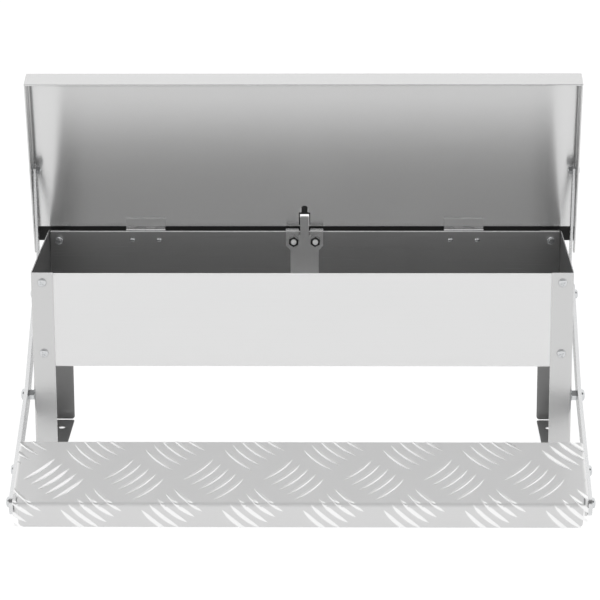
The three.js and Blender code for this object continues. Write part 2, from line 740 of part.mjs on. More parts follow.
// Lever arm: two straight legs with round ends that meet at the main pivot
function leverArm() {
  const radius = arm_width / 2;
  const knee = arm_rear.angle();
  const innerKnee = new THREE.Vector2(0, radius / Math.cos(knee / 2));
  innerKnee.rotateAround(new THREE.Vector2(), knee / 2);
  const outline = new THREE.Shape();
  outline.absarc(radius - arm_front_reach, 0, radius, Math.PI / 2, Math.PI * 1.5, false);
  outline.absarc(0, 0, radius, -Math.PI / 2, knee - Math.PI / 2, false);
  outline.absarc(arm_rear.x, arm_rear.y, radius, knee - Math.PI / 2, knee + Math.PI / 2, false);
  outline.lineTo(innerKnee.x, innerKnee.y);
  const bar = alongX(outline, arm_inner, arm_outer, 8);
  const pivotHole = (pivot_bolt_size + pivot_clearance) / 2;
  const ends = (radius) => [[arm_inner - overrun, radius], [arm_outer + overrun, radius]];
  const boltHole = (plate_bolt_size + hole_clearance) / 2;
  const linkHole = (link_bolt_size + hole_clearance) / 2;
  const cuts = [turnedX(ends(pivotHole), 0, 0), turnedX(ends(linkHole), arm_rear.x, arm_rear.y)];
  cuts.push(...bolt_rows.map((reach) => turnedX(ends(boltHole), -reach, 0)));
  return shapeOf(bar.subtract(joined(cuts)));
}

// Main pivot bolt, with its head outside the arm
function pivotBolt() {
  const head = domeProfile(head_seat, pivot_head_height, pivot_head_width);
  const inside = half_trough - sheet - contact_gap - lock_nut_height - bolt_tip;
  const shank = [[inside, pivot_bolt_size / 2], [head_seat, pivot_bolt_size / 2]];
  return shapeOf(turnedX([...shank, ...head], pivot_setback, pivot_height));
}

// Nut on the main pivot bolt: it seats at one X value, its flange towards the side panel
function pivotNut(seat, facing, height, flangeHeight) {
  const bore = (pivot_bolt_size + contact_gap * 2) / 2;
  const corner = hexRadius(spacer_nut_across);
  const flangeEnd = seat + facing * flangeHeight;
  const end = flangeEnd + facing * height;
  const hexEnds = ascending([[seat + (facing * flangeHeight) / 2, corner], [end, corner]]);
  const hex = turnedX(hexEnds, pivot_setback, pivot_height, 6);
  const rim = spacer_flange_width / 2;
  const flange = turnedX(ascending([[seat, rim], [flangeEnd, rim]]), pivot_setback, pivot_height);
  const holeEnds = ascending([[seat - facing * overrun, bore], [end + facing * overrun, bore]]);
  return shapeOf(hex.add(flange).subtract(turnedX(holeEnds, pivot_setback, pivot_height)));
}

// Bolt that holds the tread plate to an arm, with its nut inside the plate's folded end
function plateBolt(reach) {
  const inner = plate_half - plate_sheet - contact_gap;
  const tip = inner - plate_nut_height - bolt_tip;
  const head = domeProfile(head_seat, plate_bolt_head_height, plate_bolt_head_width);
  const shank = [[tip, plate_bolt_size / 2], [head_seat, plate_bolt_size / 2]];
  const corner = hexRadius(plate_nut_across);
  const nut = turnedX([[inner - plate_nut_height, corner], [inner, corner]], -reach, 0, 6);
  return shapeOf(turnedX([...shank, ...head], -reach, 0).add(nut));
}

// Outline of one raised bar, centred on its group's origin line and bowed to one side
function barShape(offset) {
  const half = bar_length / 2;
  const shape = new THREE.Shape();
  shape.moveTo(-half, offset);
  shape.quadraticCurveTo(0, offset + bar_bow + bar_width, half, offset);
  shape.quadraticCurveTo(0, offset + bar_bow - bar_width, -half, offset);
  return shape;
}

// One group of five raised bars, turned to lean left or right
function barGroup(x, y, lean) {
  const parts = [];
  for (let i = 0; i < bar_count; i += 1) {
    const offset = (i - (bar_count - 1) / 2) * bar_pitch;
    parts.push(extruded(barShape(offset), bar_height + plate_sheet / 2, 4));
  }
  const group = mergeGeometries(parts);
  group.rotateZ(lean * THREE.MathUtils.degToRad(bar_angle) + (lean < 0 ? Math.PI : 0));
  group.translate(x, y, plate_rise - plate_sheet / 2);
  return group;
}

// The whole raised pattern: groups lean left and right in a checkerboard, cut at the plate's edges
function treadPattern() {
  const groups = [];
  const columns = Math.ceil(plate_half / group_pitch) + 1;
  const rows = Math.ceil(plate_depth / group_row_pitch) + 1;
  for (let row = 0; row < rows; row += 1) {
    const lean = row % 2 === 0 ? -1 : 1;
    const shift = group_shift + (row % 2) * (group_pitch / 2);
    for (let column = -columns; column <= columns; column += 1) {
      const y = -plate_setoff - group_first_row - row * group_row_pitch;
      groups.push(barGroup(column * group_pitch + shift, y, lean));
    }
  }
  const top = plate_rise + bar_height + overrun;
  const sides = plate_half - plate_bend - bar_edge_gap;
  const field = block(
    [-sides, bar_edge_gap + plate_bend - plate_front, plate_rise - plate_sheet],
    [sides, -plate_setoff - bar_edge_gap, top],
  );
  return solid(mergeGeometries(groups)).intersect(field);
}

// Tread plate in the treadle's frame: top, front lip, folded-down ends and raised bars
function treadPlate() {
  const lipPath = [
    [-plate_setoff, plate_rise],
    [-plate_front, plate_rise],
    [-plate_front, plate_rise - plate_lip],
  ];
  const sheetAndLip = alongX(foldedOutline(lipPath, plate_sheet, plate_bend), -plate_half, plate_half);
  const sideEdge = plate_rise - plate_side_depth;
  const endPath = [
    [plate_half, sideEdge],
    [plate_half, plate_rise],
    [-plate_half, plate_rise],
    [-plate_half, sideEdge],
  ];
  const notchStart = corner_notch_depth - plate_front;
  const ends = alongY(foldedOutline(endPath, plate_sheet, plate_bend), notchStart, -plate_setoff);
  const strips = [];
  const trims = [];
  const low = plate_rise - plate_lip;
  const notchInner = plate_half - corner_notch_width;
  const ahead = -plate_front - overrun;
  for (const side of [-1, 1]) {
    const notch = span(side * notchInner, side * (plate_half + overrun));
    trims.push(block([notch[0], ahead, low - overrun], [notch[1], notchStart, plate_rise + overrun]));
    const cornerX = side * (notchInner - lip_corner_radius);
    const corner = span(cornerX, side * (notchInner + overrun));
    const behind = plate_sheet + overrun - plate_front;
    const square = block([corner[0], ahead, low - overrun], [corner[1], behind, low + lip_corner_radius]);
    const roundEnds = [[ahead, lip_corner_radius], [behind + overrun, lip_corner_radius]];
    trims.push(square.subtract(turnedY(roundEnds, cornerX, low + lip_corner_radius, 24)));
    const edge = span(side * (plate_half - plate_bend), side * (plate_half + overrun));
    const bendTop = [edge[1], overrun - plate_setoff, plate_rise + overrun];
    strips.push(block([edge[0], notchStart, plate_rise - plate_bend], bendTop));
  }
  const boltHole = (plate_bolt_size + hole_clearance) / 2;
  for (const reach of bolt_rows) {
    trims.push(turnedX([[-plate_half - overrun, boltHole], [plate_half + overrun, boltHole]], -reach, 0));
  }
  const flat = sheetAndLip.subtract(joined(strips));
  return shapeOf(joined([flat, ends, treadPattern()]).subtract(joined(trims)));
}

// Pieces that stand still
const feeder = new THREE.Group();
feeder.position.y = -centre_y;
pair(feeder, 'side_panel', sidePanel(), stainless);
piece(feeder, 'trough_body', troughBody(), stainless);
for (const [level, z] of Object.entries(screw_heights)) {
  pair(feeder, `front_screw_${level}`, cornerScrew(-1, z, 0), zinc);
  pair(feeder, `rear_screw_${level}`, cornerScrew(1, z, level === 'upper' ? hem_fold : 0), zinc);
}
piece(feeder, 'centre_bracket', centreBracket(), stainless);
pair(feeder, 'bracket_bolt', bracketBolt(), zinc);
pair(feeder, 'bracket_nut', bracketNut(), zinc);
pair(feeder, 'pivot_bolt', pivotBolt(), zinc);
const spacerSeat = half_trough + contact_gap;
pair(feeder, 'spacer_nut', pivotNut(spacerSeat, 1, spacer_nut_height, spacer_flange_height), zinc);
const lockSeat = half_trough - sheet - contact_gap;
const lockHeight = lock_nut_height - spacer_flange_height;
pair(feeder, 'lock_nut', pivotNut(lockSeat, -1, lockHeight, spacer_flange_height), zinc);

// Fixed hinge leaves, pins and rivets
const hingeGroup = new THREE.Group();
hingeGroup.position.set(0, hinge_y, hinge_z);
feeder.add(hingeGroup);
pair(hingeGroup, 'hinge_lower_leaf', hingeLeaf(0, hinge_leaf_drop, lower_rivet_drop), stainless);
pair(hingeGroup, 'hinge_pin', hingePin(), zinc);
const lowerSeat = hinge_leaf - knuckle_radius + contact_gap;
const lowerGrip = hinge_leaf + sheet + hem_fold + contact_gap * 3;
rivetPlaces().forEach((x, i) => {
  pair(hingeGroup, `lower_rivet_${i + 1}`, rivet(x, -lower_rivet_drop, lowerSeat, lowerGrip), zinc);
});

// Lid, turned open about the hinge axis
const lid = new THREE.Group();
lid.position.set(0, hinge_y, hinge_z);
lid.rotation.x = -open_turn;
feeder.add(lid);
piece(lid, 'lid_shell', lidShell(), brushed);
piece(lid, 'slot_buffer', slotBuffer(), rubber);
pair(lid, 'lid_bolt', lidBolt(), zinc);
pair(lid, 'lid_nut', lidNut(), zinc);
const upperLeaf = hingeLeaf(1, hinge_leaf_reach, upper_rivet_reach);
upperLeaf.rotateX(Math.PI / 2);
const leafTurn = new THREE.Matrix4().makeScale(1, -1, -1);
upperLeaf.applyMatrix4(leafTurn);
pair(lid, 'hinge_upper_leaf', upperLeaf, stainless);
rivetPlaces().forEach((x, i) => {
  const upperGrip = hinge_leaf + turned_gap + lid_sheet + contact_gap * 2;
  const geometry = rivet(x, 0, lid_top + contact_gap, upperGrip);
  geometry.rotateX(Math.PI / 2);
  geometry.translate(0, upper_rivet_reach, 0);
  pair(lid, `upper_rivet_${i + 1}`, geometry, zinc);
});

// Treadle, tilted down to the ground about the main pivot
const treadle = new THREE.Group();
treadle.position.set(0, pivot_setback, pivot_height);
treadle.rotation.x = tilt_turn;
feeder.add(treadle);
piece(treadle, 'tread_plate', treadPlate(), tread);
pair(treadle, 'lever_arm', leverArm(), stainless);
pair(treadle, 'link_bolt', linkBolt(), zinc);
bolt_rows.forEach((reach, i) => {
  pair(treadle, `plate_bolt_${i === 0 ? 'rear' : 'front'}`, plateBolt(reach), zinc);
});

// Links between the arms and the lid
const links = new THREE.Group();
links.position.set(0, link_pivot.x, link_pivot.y);
links.rotation.x = link_turn;
feeder.add(links);
pair(links, 'link', link(), stainless);
pair(links, 'link_rivet', linkRivet(), zinc);

export default feeder;
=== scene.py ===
import math

import bmesh
import bpy
from mathutils import Matrix, Vector


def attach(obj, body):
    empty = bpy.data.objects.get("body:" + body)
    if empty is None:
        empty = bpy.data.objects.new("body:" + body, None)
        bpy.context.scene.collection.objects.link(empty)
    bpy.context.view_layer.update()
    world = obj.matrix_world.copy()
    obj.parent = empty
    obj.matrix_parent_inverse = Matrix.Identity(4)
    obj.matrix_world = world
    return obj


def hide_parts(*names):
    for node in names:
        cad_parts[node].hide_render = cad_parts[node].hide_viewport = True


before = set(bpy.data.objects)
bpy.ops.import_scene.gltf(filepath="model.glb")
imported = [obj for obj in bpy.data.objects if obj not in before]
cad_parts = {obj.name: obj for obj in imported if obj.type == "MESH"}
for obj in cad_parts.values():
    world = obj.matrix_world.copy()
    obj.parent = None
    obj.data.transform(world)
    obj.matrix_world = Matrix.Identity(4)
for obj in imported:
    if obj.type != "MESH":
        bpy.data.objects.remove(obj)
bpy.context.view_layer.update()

# Camera
# A long lens in front of the feeder and above it, looking slightly down over the tread plate.
# Lengths below are in millimetres, from the trough's front face and from the ground.
MM = 0.001
centre_setback = 7.98664
camera_place = (47.4, -2735.8, 957.5)
camera_pitch = 15.6786
camera_yaw = -1.0364
camera_roll = 0.2468
lens_length = 165.14
sensor_width = 36.0


def from_trough_front(x, y, z):
    """A point counted from the trough's front face, in the frame's metres."""
    return Vector((x, y - centre_setback, z)) * MM


pitch = math.radians(camera_pitch)
yaw = math.radians(camera_yaw)
sight = Vector((math.sin(yaw) * math.cos(pitch), math.cos(yaw) * math.cos(pitch), -math.sin(pitch)))
lens = bpy.data.cameras.new("photo_camera")
lens.sensor_width = sensor_width
lens.lens = lens_length
camera = bpy.data.objects.new("photo_camera", lens)
level_look = sight.to_track_quat("-Z", "Y").to_matrix().to_4x4()
camera.matrix_world = (
    Matrix.Translation(from_trough_front(*camera_place))
    @ level_look
    @ Matrix.Rotation(math.radians(-camera_roll), 4, "Z")
)
bpy.context.scene.collection.objects.link(camera)
bpy.context.scene.camera = camera
bpy.context.scene.view_settings.view_transform = "Standard"

# Floor and light
# A white studio floor that glows a little, under a white sky that is dark in front and above.
# The metal mirrors this room, so its greys come from the room's brightness.
floor_half = 12.0
floor_white = 0.12
floor_glow = 0.95
sky_strength = 1.15
front_share = 0.14


def set_sockets(node, values):
    """Sets several inputs of a node by their names."""
    for socket, value in values.items():
        node.inputs[socket].default_value = value


floor_mesh = bpy.data.meshes.new("studio_floor")
floor_signs = ((-1, -1), (1, -1), (1, 1), (-1, 1))
floor_mesh.from_pydata([(x * floor_half, y * floor_half, 0) for x, y in floor_signs], [], [(0, 1, 2, 3)])
floor = bpy.data.objects.new("studio_floor", floor_mesh)
bpy.context.scene.collection.objects.link(floor)
paint = bpy.data.materials.new("studio_floor_paint")
paint.use_nodes = True
set_sockets(paint.node_tree.nodes["Principled BSDF"], {
    "Base Color": (floor_white,) * 3 + (1,),
    "Roughness": 0.9,
    "Specular IOR Level": 0.0,
    "Emission Color": (1, 1, 1, 1),
    "Emission Strength": floor_glow,
})
floor_mesh.materials.append(paint)

sky = bpy.data.worlds.new("studio_sky")
bpy.context.scene.world = sky
sky.use_nodes = True
sky_tree = sky.node_tree
sky_where = sky_tree.nodes.new("ShaderNodeTexCoord")
sky_axes = sky_tree.nodes.new("ShaderNodeSeparateXYZ")
sky_tree.links.new(sky_where.outputs["Generated"], sky_axes.inputs["Vector"])


def sky_ramp(axis, start, end, low, high):
    """A smooth step of brightness along one axis of the sky, from start to end."""
    ramp = sky_tree.nodes.new("ShaderNodeMapRange")
    ramp.interpolation_type = "SMOOTHSTEP"
    set_sockets(ramp, {"From Min": start, "From Max": end, "To Min": low, "To Max": high})
    sky_tree.links.new(sky_axes.outputs[axis], ramp.inputs["Value"])
    return ramp


def sky_math(operation, first, second):
    """Joins two brightness values."""
    node = sky_tree.nodes.new("ShaderNodeMath")
    node.operation = operation
    sky_tree.links.new(first.outputs[0], node.inputs[0])
    sky_tree.links.new(second.outputs[0], node.inputs[1])
    return node


behind = sky_ramp("Y", -0.5, -0.2, 0.0, 1.0)
low_front = sky_ramp("Z", 0.35, 0.5, 1.0, 0.0)
lit = sky_math("MAXIMUM", behind, low_front)
brightness = sky_tree.nodes.new("ShaderNodeMapRange")
set_sockets(brightness, {"To Min": sky_strength * front_share, "To Max": sky_strength})
sky_tree.links.new(lit.outputs[0], brightness.inputs["Value"])
sky_tree.links.new(brightness.outputs[0], sky_tree.nodes["Background"].inputs["Strength"])
sky_tree.nodes["Background"].inputs["Color"].default_value = (1, 1, 1, 1)

# Side panels
# Two panels of 1 mm stainless sheet, each folded into a channel with a front and a rear flange.
# A third flange at the bottom turns inwards and is the foot, with two holes for ground screws.
trough_half = 280.0
trough_depth = 180.0
panel_top = 218.5
sheet = 1.0
bend = 2.0
flange_width = 23.0
flange_lift = 1.5
corner_round = 3.5
foot_leg = 12.0
foot_end_gap = 2.2
anchor_hole = 7.0
anchor_inset = 30.0


def fold(path, thickness, radii, steps=7):
    """Closed outline of a folded strip: the path is one face and the sheet lies on its left."""
    points = [Vector(p) for p in path]
    if not isinstance(radii, (list, tuple)):
        radii = [radii] * (len(points) - 2)
    face, back = [], []
    for i, point in enumerate(points):
        last = points[i - 1] if i else None
        following = points[i + 1] if i + 1 < len(points) else None
        heading = ((following - point) if following else (point - last)).normalized()
        left = Vector((-heading.y, heading.x))
        if last is None or following is None:
            face.append(point)
            back.append(point + left * thickness)
            continue
        arrival = (point - last).normalized()
        arrival_left = Vector((-arrival.y, arrival.x))
        turn = math.atan2(arrival.x * heading.y - arrival.y * heading.x, arrival.dot(heading))
        side = 1 if turn > 0 else -1
        radius = radii[i - 1]
        face_radius = radius if side > 0 else radius - thickness
        back_radius = radius - thickness if side > 0 else radius
        centre = point - arrival * face_radius * math.tan(abs(turn) / 2) + arrival_left * side * face_radius
        start = math.atan2(-side * arrival_left.y, -side * arrival_left.x)
        for k in range(steps + 1):
            angle = start + turn * k / steps
            ray = Vector((math.cos(angle), math.sin(angle)))
            face.append(centre + ray * face_radius)
            back.append(centre + ray * back_radius)
    return face + back[::-1]


def extruded(outline, low, high, axis, folded=False):
    """A solid with this outline across an axis: X takes (y, z), Y takes (x, z), Z takes (x, y).

    The ends of a folded strip are closed step by step along the strip.
    """
    places = {
        "X": lambda p, t: Vector((t, p[0], p[1])),
        "Y": lambda p, t: Vector((p[0], t, p[1])),
        "Z": lambda p, t: Vector((p[0], p[1], t)),
    }
    body = bmesh.new()
    lower = [body.verts.new(places[axis](p, low)) for p in outline]
    upper = [body.verts.new(places[axis](p, high)) for p in outline]
    count = len(outline)
    for i in range(count):
        body.faces.new((lower[i], lower[(i + 1) % count], upper[(i + 1) % count], upper[i]))
    for ring in (lower, upper):
        if not folded:
            body.faces.new(ring)
            continue
        for i in range(count // 2 - 1):
            body.faces.new((ring[i], ring[i + 1], ring[count - 2 - i], ring[count - 1 - i]))
    bmesh.ops.recalc_face_normals(body, faces=body.faces)
    return body


def as_object(name, body, place=Matrix.Identity(4), mirror=False):
    """An object from a millimetre solid in its own frame, set at its place."""
    if mirror:
        bmesh.ops.scale(body, vec=(-1, 1, 1), verts=body.verts)
        bmesh.ops.reverse_faces(body, faces=body.faces)
    bmesh.ops.scale(body, vec=(MM, MM, MM), verts=body.verts)
    mesh = bpy.data.meshes.new(name)
    body.to_mesh(mesh)
    body.free()
    made = bpy.data.objects.new(name, mesh)
    bpy.context.scene.collection.objects.link(made)
    made.matrix_world = place
    return made


def settled(made):
    """Applies the modifiers of an object to its mesh."""
    bpy.context.view_layer.update()
    graph = bpy.context.evaluated_depsgraph_get()
    made.data = bpy.data.meshes.new_from_object(made.evaluated_get(graph))
    made.modifiers.clear()


def joined_with(made, other, operation):
    """Joins or cuts one object with another, which is then removed."""
    work = made.modifiers.new(operation.lower(), "BOOLEAN")
    work.operation = operation
    work.solver = "EXACT"
    work.object = other
    settled(made)
    bpy.data.objects.remove(other)


def turned(profile, axis, centre, segments=32):
    """A turned solid about an axis: the profile lists (place along the axis, radius)."""
    body = bmesh.new()
    rings = []
    for along, radius in profile:
        ring = []
        for k in range(segments):
            angle = 2 * math.pi * k / segments
            a, b = radius * math.cos(angle), radius * math.sin(angle)
            spot = {"X": (along, centre[0] + a, centre[1] + b), "Y": (centre[0] + a, along, centre[1] + b),
                    "Z": (centre[0] + a, centre[1] + b, along)}[axis]
            ring.append(body.verts.new(spot))
        rings.append(ring)
    for low, high in zip(rings, rings[1:]):
        for k in range(segments):
            body.faces.new((low[k], low[(k + 1) % segments], high[(k + 1) % segments], high[k]))
    body.faces.new(rings[0][::-1])
    body.faces.new(rings[-1])
    bmesh.ops.recalc_face_normals(body, faces=body.faces)
    return body


def boxed(low, high):
    """A block between two corners, for cutting."""
    (left, front, bottom), (right, rear, top) = low, high
    return extruded([(left, front), (right, front), (right, rear), (left, rear)], bottom, top, "Z")


def corner_cutter(corner, inward, radius, low, high, axis, place=Matrix.Identity(4)):
    """What a rounded corner leaves away: the corner and the way inwards lie across the axis."""
    a, b = corner[0] - inward[0], corner[1] - inward[1]
    centre = (corner[0] + inward[0] * radius, corner[1] + inward[1] * radius)
    block = as_object("corner", extruded([(a, b), (centre[0], b), centre, (a, centre[1])], low, high, axis))
    barrel = turned([(low - 1, radius), (high + 1, radius)], axis, centre, 64)
    joined_with(block, as_object("barrel", barrel), "DIFFERENCE")
    block.matrix_world = place
    return block


def softened(made, width=0.25, segments=2, angle=35.0):
    """Breaks the sharp edges of a piece and shades its bends smoothly."""
    edge = made.modifiers.new("broken_edges", "BEVEL")
    edge.width = width * MM
    edge.segments = segments
    edge.limit_method = "ANGLE"
    edge.angle_limit = math.radians(angle)
    edge.harden_normals = True
    made.data.polygons.foreach_set("use_smooth", [True] * len(made.data.polygons))
    made.data.set_sharp_from_angle(angle=math.radians(angle))
    flat = made.modifiers.new("flat_faces", "WEIGHTED_NORMAL")
    flat.keep_sharp = True


def steel(name, tone, roughness, grain, anisotropy=0.6, streak=0.03, relief_height=0.000004, mirror=1.0):
    """Rolled or brushed metal: fine lines along one direction, drawn by stretched noise."""
    metal = bpy.data.materials.new(name)
    metal.use_nodes = True
    tree = metal.node_tree
    shader = tree.nodes["Principled BSDF"]
    set_sockets(shader, {"Metallic": mirror, "Anisotropic": anisotropy, "Anisotropic Rotation": 0.25})
    where = tree.nodes.new("ShaderNodeTexCoord")
    stretch = tree.nodes.new("ShaderNodeMapping")
    stretch.inputs["Scale"].default_value = grain
    lines = tree.nodes.new("ShaderNodeTexNoise")
    set_sockets(lines, {"Scale": 1.0, "Detail": 4.0, "Roughness": 0.6})
    shade = tree.nodes.new("ShaderNodeMapRange")
    set_sockets(shade, {"From Min": 0.3, "From Max": 0.7})
    set_sockets(shade, {"To Min": roughness - streak, "To Max": roughness + streak})
    tint = tree.nodes.new("ShaderNodeMix")
    tint.data_type = "RGBA"
    tint.inputs["A"].default_value = tuple(c * (1 - streak) for c in tone) + (1,)
    tint.inputs["B"].default_value = tuple(min(1, c * (1 + streak)) for c in tone) + (1,)
    relief = tree.nodes.new("ShaderNodeBump")
    set_sockets(relief, {"Strength": 0.5, "Distance": relief_height})
    link = tree.links.new
    link(where.outputs["Object"], stretch.inputs["Vector"])
    link(stretch.outputs["Vector"], lines.inputs["Vector"])
    link(lines.outputs["Fac"], shade.inputs["Value"])
    link(shade.outputs["Result"], shader.inputs["Roughness"])
    link(lines.outputs["Fac"], tint.inputs["Factor"])
    link(tint.outputs["Result"], shader.inputs["Base Color"])
    link(lines.outputs["Fac"], relief.inputs["Height"])
    link(relief.outputs["Normal"], shader.inputs["Normal"])
    along = tree.nodes.new("ShaderNodeCombineXYZ")
    long_axis = grain.index(min(grain))
    along.inputs[long_axis].default_value = 1.0
    link(along.outputs["Vector"], shader.inputs["Tangent"])
    return metal


def fitted(made, body, slot, metal, *nodes):
    """Gives a piece its metal, its body and the solids that it stands for."""
    made.data.materials.clear()
    made.data.materials.append(metal)
    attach(made, body)
    if nodes:
        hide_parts(*nodes)
    return made


def paint_light_on(made, metal, faces_of):
    """Gives some faces of a sheet another metal that paints light or shade on them: they are chosen by their
    middle and normal.
    """
    made.data.materials.append(metal)
    for face in made.data.polygons:
        if faces_of(face.center / MM, face.normal):
            face.material_index = len(made.data.materials) - 1


def pairs():
    """The right-hand piece and its mirror image on the left."""
    return (("right", False), ("left", True))


# The inner sides show the sheet's slightly rougher mill finish, and their colour is painted darker as
# painted shade inside the feeder.
standing = Matrix.Translation(from_trough_front(0, 0, 0))
grain_across = (8.0, 5000.0, 5000.0)
grain_upright = (5000.0, 5000.0, 8.0)
panel_steel = steel("side_panel_steel", (0.6, 0.6, 0.6), 0.26, grain_upright, 0.6, 0.008, mirror=0.8)
mill_finish_and_painted_shade = steel("mill_side_steel_painted_shade", (0.38, 0.38, 0.38), 0.3, grain_upright, 0.5, 0.008, mirror=0.9)
inner_wall = trough_half - sheet


def inside_of_panel(middle, normal):
    """The faces of a side panel that look into the feeder."""
    wall = normal.x * middle.x < 0 and abs(normal.x) > 0.9 and abs(abs(middle.x) - inner_wall) < 0.1
    rear = normal.y < -0.9 and middle.y > trough_depth - 2 * sheet
    front = normal.y > 0.9 and middle.y < 2 * sheet
    return wall or rear or front or (normal.z > 0.9 and middle.z < 2 * sheet)


flange_inner = trough_half - flange_width
for side, mirror in pairs():
    channel_rear = [(trough_half, trough_depth), (flange_inner, trough_depth)]
    channel = fold([(flange_inner, 0), (trough_half, 0)] + channel_rear, sheet, bend)
    walls = extruded(channel, flange_lift, panel_top, "Z", True)
    panel = as_object(f"side_panel_sheet_{side}", walls, standing, mirror)
    foot = fold([(flange_inner, 0), (trough_half, 0), (trough_half, foot_leg)], sheet, bend)
    foot_ends = (foot_end_gap, trough_depth - foot_end_gap)
    out = -1 if mirror else 1
    corner = (out * flange_inner, flange_lift)
    rounding = corner_cutter(corner, (out, 1), corner_round, -1, trough_depth + 1, "Y", standing)
    joined_with(panel, rounding, "DIFFERENCE")
    joined_with(panel, as_object("foot", extruded(foot, *foot_ends, "Y", True), standing, mirror), "UNION")
    for y, inward in zip(foot_ends, (1, -1)):
        corner = (out * flange_inner, y)
        rounding = corner_cutter(corner, (out, inward), corner_round, -1, sheet + 0.2, "Z", standing)
        joined_with(panel, rounding, "DIFFERENCE")
    for y in (anchor_inset, trough_depth - anchor_inset):
        centre = (trough_half - flange_width / 2, y)
        hole = turned([(-2, anchor_hole / 2), (sheet + 2, anchor_hole / 2)], "Z", centre)
        joined_with(panel, as_object("hole", hole, standing, mirror), "DIFFERENCE")
    softened(panel)
    fitted(panel, "frame", "stainless_sheet", panel_steel, f"side_panel_{side}")
    # The faces inside the feeder get the painted shade.
    paint_light_on(panel, mill_finish_and_painted_shade, inside_of_panel)

# Trough sheet
# One sheet of 1 mm stainless is folded into the front wall, the floor and the rear wall.
# Both upper edges are hemmed inwards: a narrow hem in front, a wide one that carries the hinges.
contact = 0.1
front_face = sheet + contact
rear_face = trough_depth - sheet - contact
front_top = 217.5
rim = 218.0
trough_floor = 117.0
hem_width = 2.2
front_hem = 4.5
rear_hem = 18.0
trough_end_gap = 2.1

trough_steel = steel("trough_steel", (0.84, 0.84, 0.84), 0.31, grain_across, 1.0, mirror=0.92)
trough_path = [
    (front_face + hem_width, front_top - front_hem),
    (front_face + hem_width, front_top),
    (front_face, front_top),
    (front_face, trough_floor),
    (rear_face, trough_floor),
    (rear_face, rim),
    (rear_face - hem_width, rim),
    (rear_face - hem_width, rim - rear_hem),
]
hem_bend = hem_width / 2
trough_outline = fold(trough_path, sheet, [hem_bend, hem_bend, bend, bend, hem_bend, hem_bend])
trough_end = trough_half - trough_end_gap
trough = as_object("trough_sheet", extruded(trough_outline, -trough_end, trough_end, "X", True), standing)
softened(trough)
fitted(trough, "frame", "stainless_sheet", trough_steel, "trough_body")
# The rear wall's inner face is painted dark, as painted shade inside the trough.
rear_wall_painted_shade = steel("trough_rear_painted_shade", (0.3, 0.3, 0.3), 0.3, grain_across, 0.8, mirror=0.9)
# The upward faces of both hems are painted near white, as a painted highlight along the rim.
painted_highlight = steel("painted_highlight_steel", (0.95, 0.95, 0.95), 0.5, grain_across, 0.0, mirror=0.2)
paint_light_on(trough, rear_wall_painted_shade, lambda middle, normal: normal.y < -0.9 and middle.y > trough_depth / 2)
paint_light_on(trough, painted_highlight, lambda middle, normal: normal.z > 0.3 and middle.z > front_top - hem_width)

# Corner screws
# Eight M5 pan head screws join the trough to the flanges of the side panels.
# Each has a cross recess outside and a plain hex nut inside, with the screw's tip showing.
screw_radius = 2.5
pan_width = 9.0
pan_height = 2.6
screw_drops = {"upper": 10.0, "lower": 86.0}
screw_nut = (8.0, 4.0)
screw_tip = 1.6
recess_half = 2.4
recess_slot = 0.55
recess_deep = 1.5
screw_spin = {"right": 17, "left": 38}
zinc = steel("zinc_steel", (0.62, 0.63, 0.64), 0.2, (60.0, 60.0, 60.0), 0.0, 0.05)


def dome(seat, height, width, flat=0.35, steps=8):
    """Profile of a domed head from its seat upwards, as (height, radius)."""
    radius = width / 2
    rim = height * flat
    points = [(seat, radius * 0.97), (seat + rim * 0.15, radius), (seat + rim, radius)]
    for k in range(1, steps + 1):
        angle = math.pi / 2 * k / steps
        rise = (height - rim) * math.sin(angle)
        points.append((seat + rim + rise, radius * (0.25 + 0.75 * math.cos(angle) ** 0.8)))
    return points


def hex_nut(across, low, high):
    """A hexagon between two heights, with its corners turned off."""
    corner = across / math.sqrt(3)
    angles = [math.radians(60 * k) for k in range(6)]
    outline = [(corner * math.cos(angle), corner * math.sin(angle)) for angle in angles]
    nut = as_object("nut", extruded(outline, low, high, "Z"))
    cut = (corner - across / 2) * 0.6
    barrel = [(low, across / 2 * 0.97), (low + cut, corner), (high - cut, corner), (high, across / 2 * 0.97)]
    joined_with(nut, as_object("barrel", turned(barrel, "Z", (0, 0), 48)), "INTERSECT")
    return nut


def tip_profile(end, radius, seat):
    """A bolt's end with its chamfer, then its shank up to the seat."""
    return [(end, radius * 0.72), (end + radius * 0.35, radius), (seat, radius)]


def cross_recess(top):
    """The cross that a screwdriver turns, cut downwards from this height."""
    low, high = top - recess_deep, top + 1
    bar = boxed((-recess_half, -recess_slot, low), (recess_half, recess_slot, high))
    other = boxed((-recess_slot, -recess_half, low), (recess_slot, recess_half, high))
    cross = as_object("recess", bar)
    joined_with(cross, as_object("recess_bar", other), "UNION")
    return cross


def facing(axis, x, y, z, spin=0.0):
    """Where a fastener sits, with its head towards this side."""
    turns = {"-Y": (90, "X"), "+Y": (-90, "X"), "+X": (90, "Y"), "-X": (-90, "Y")}
    angle, about = turns[axis]
    place = Matrix.Translation(Vector((x, y, z)) * MM) @ Matrix.Rotation(math.radians(angle), 4, about)
    return place @ Matrix.Rotation(math.radians(spin), 4, "Z")


def shaded(made, angle=35.0):
    """Shades a fastener smoothly between its edges."""
    made.data.polygons.foreach_set("use_smooth", [True] * len(made.data.polygons))
    made.data.set_sharp_from_angle(angle=math.radians(angle))
    return made


def bored(nut, radius, height):
    """Cuts a nut's thread hole, from below its seat to this height."""
    joined_with(nut, as_object("bore", turned([(-1, radius), (height, radius)], "Z", (0, 0))), "DIFFERENCE")
    return nut


def copy_at(pattern, name, place):
    """The same fastener again, at another place."""
    made = bpy.data.objects.new(name, pattern.data)
    bpy.context.scene.collection.objects.link(made)
    made.matrix_world = place
    return made


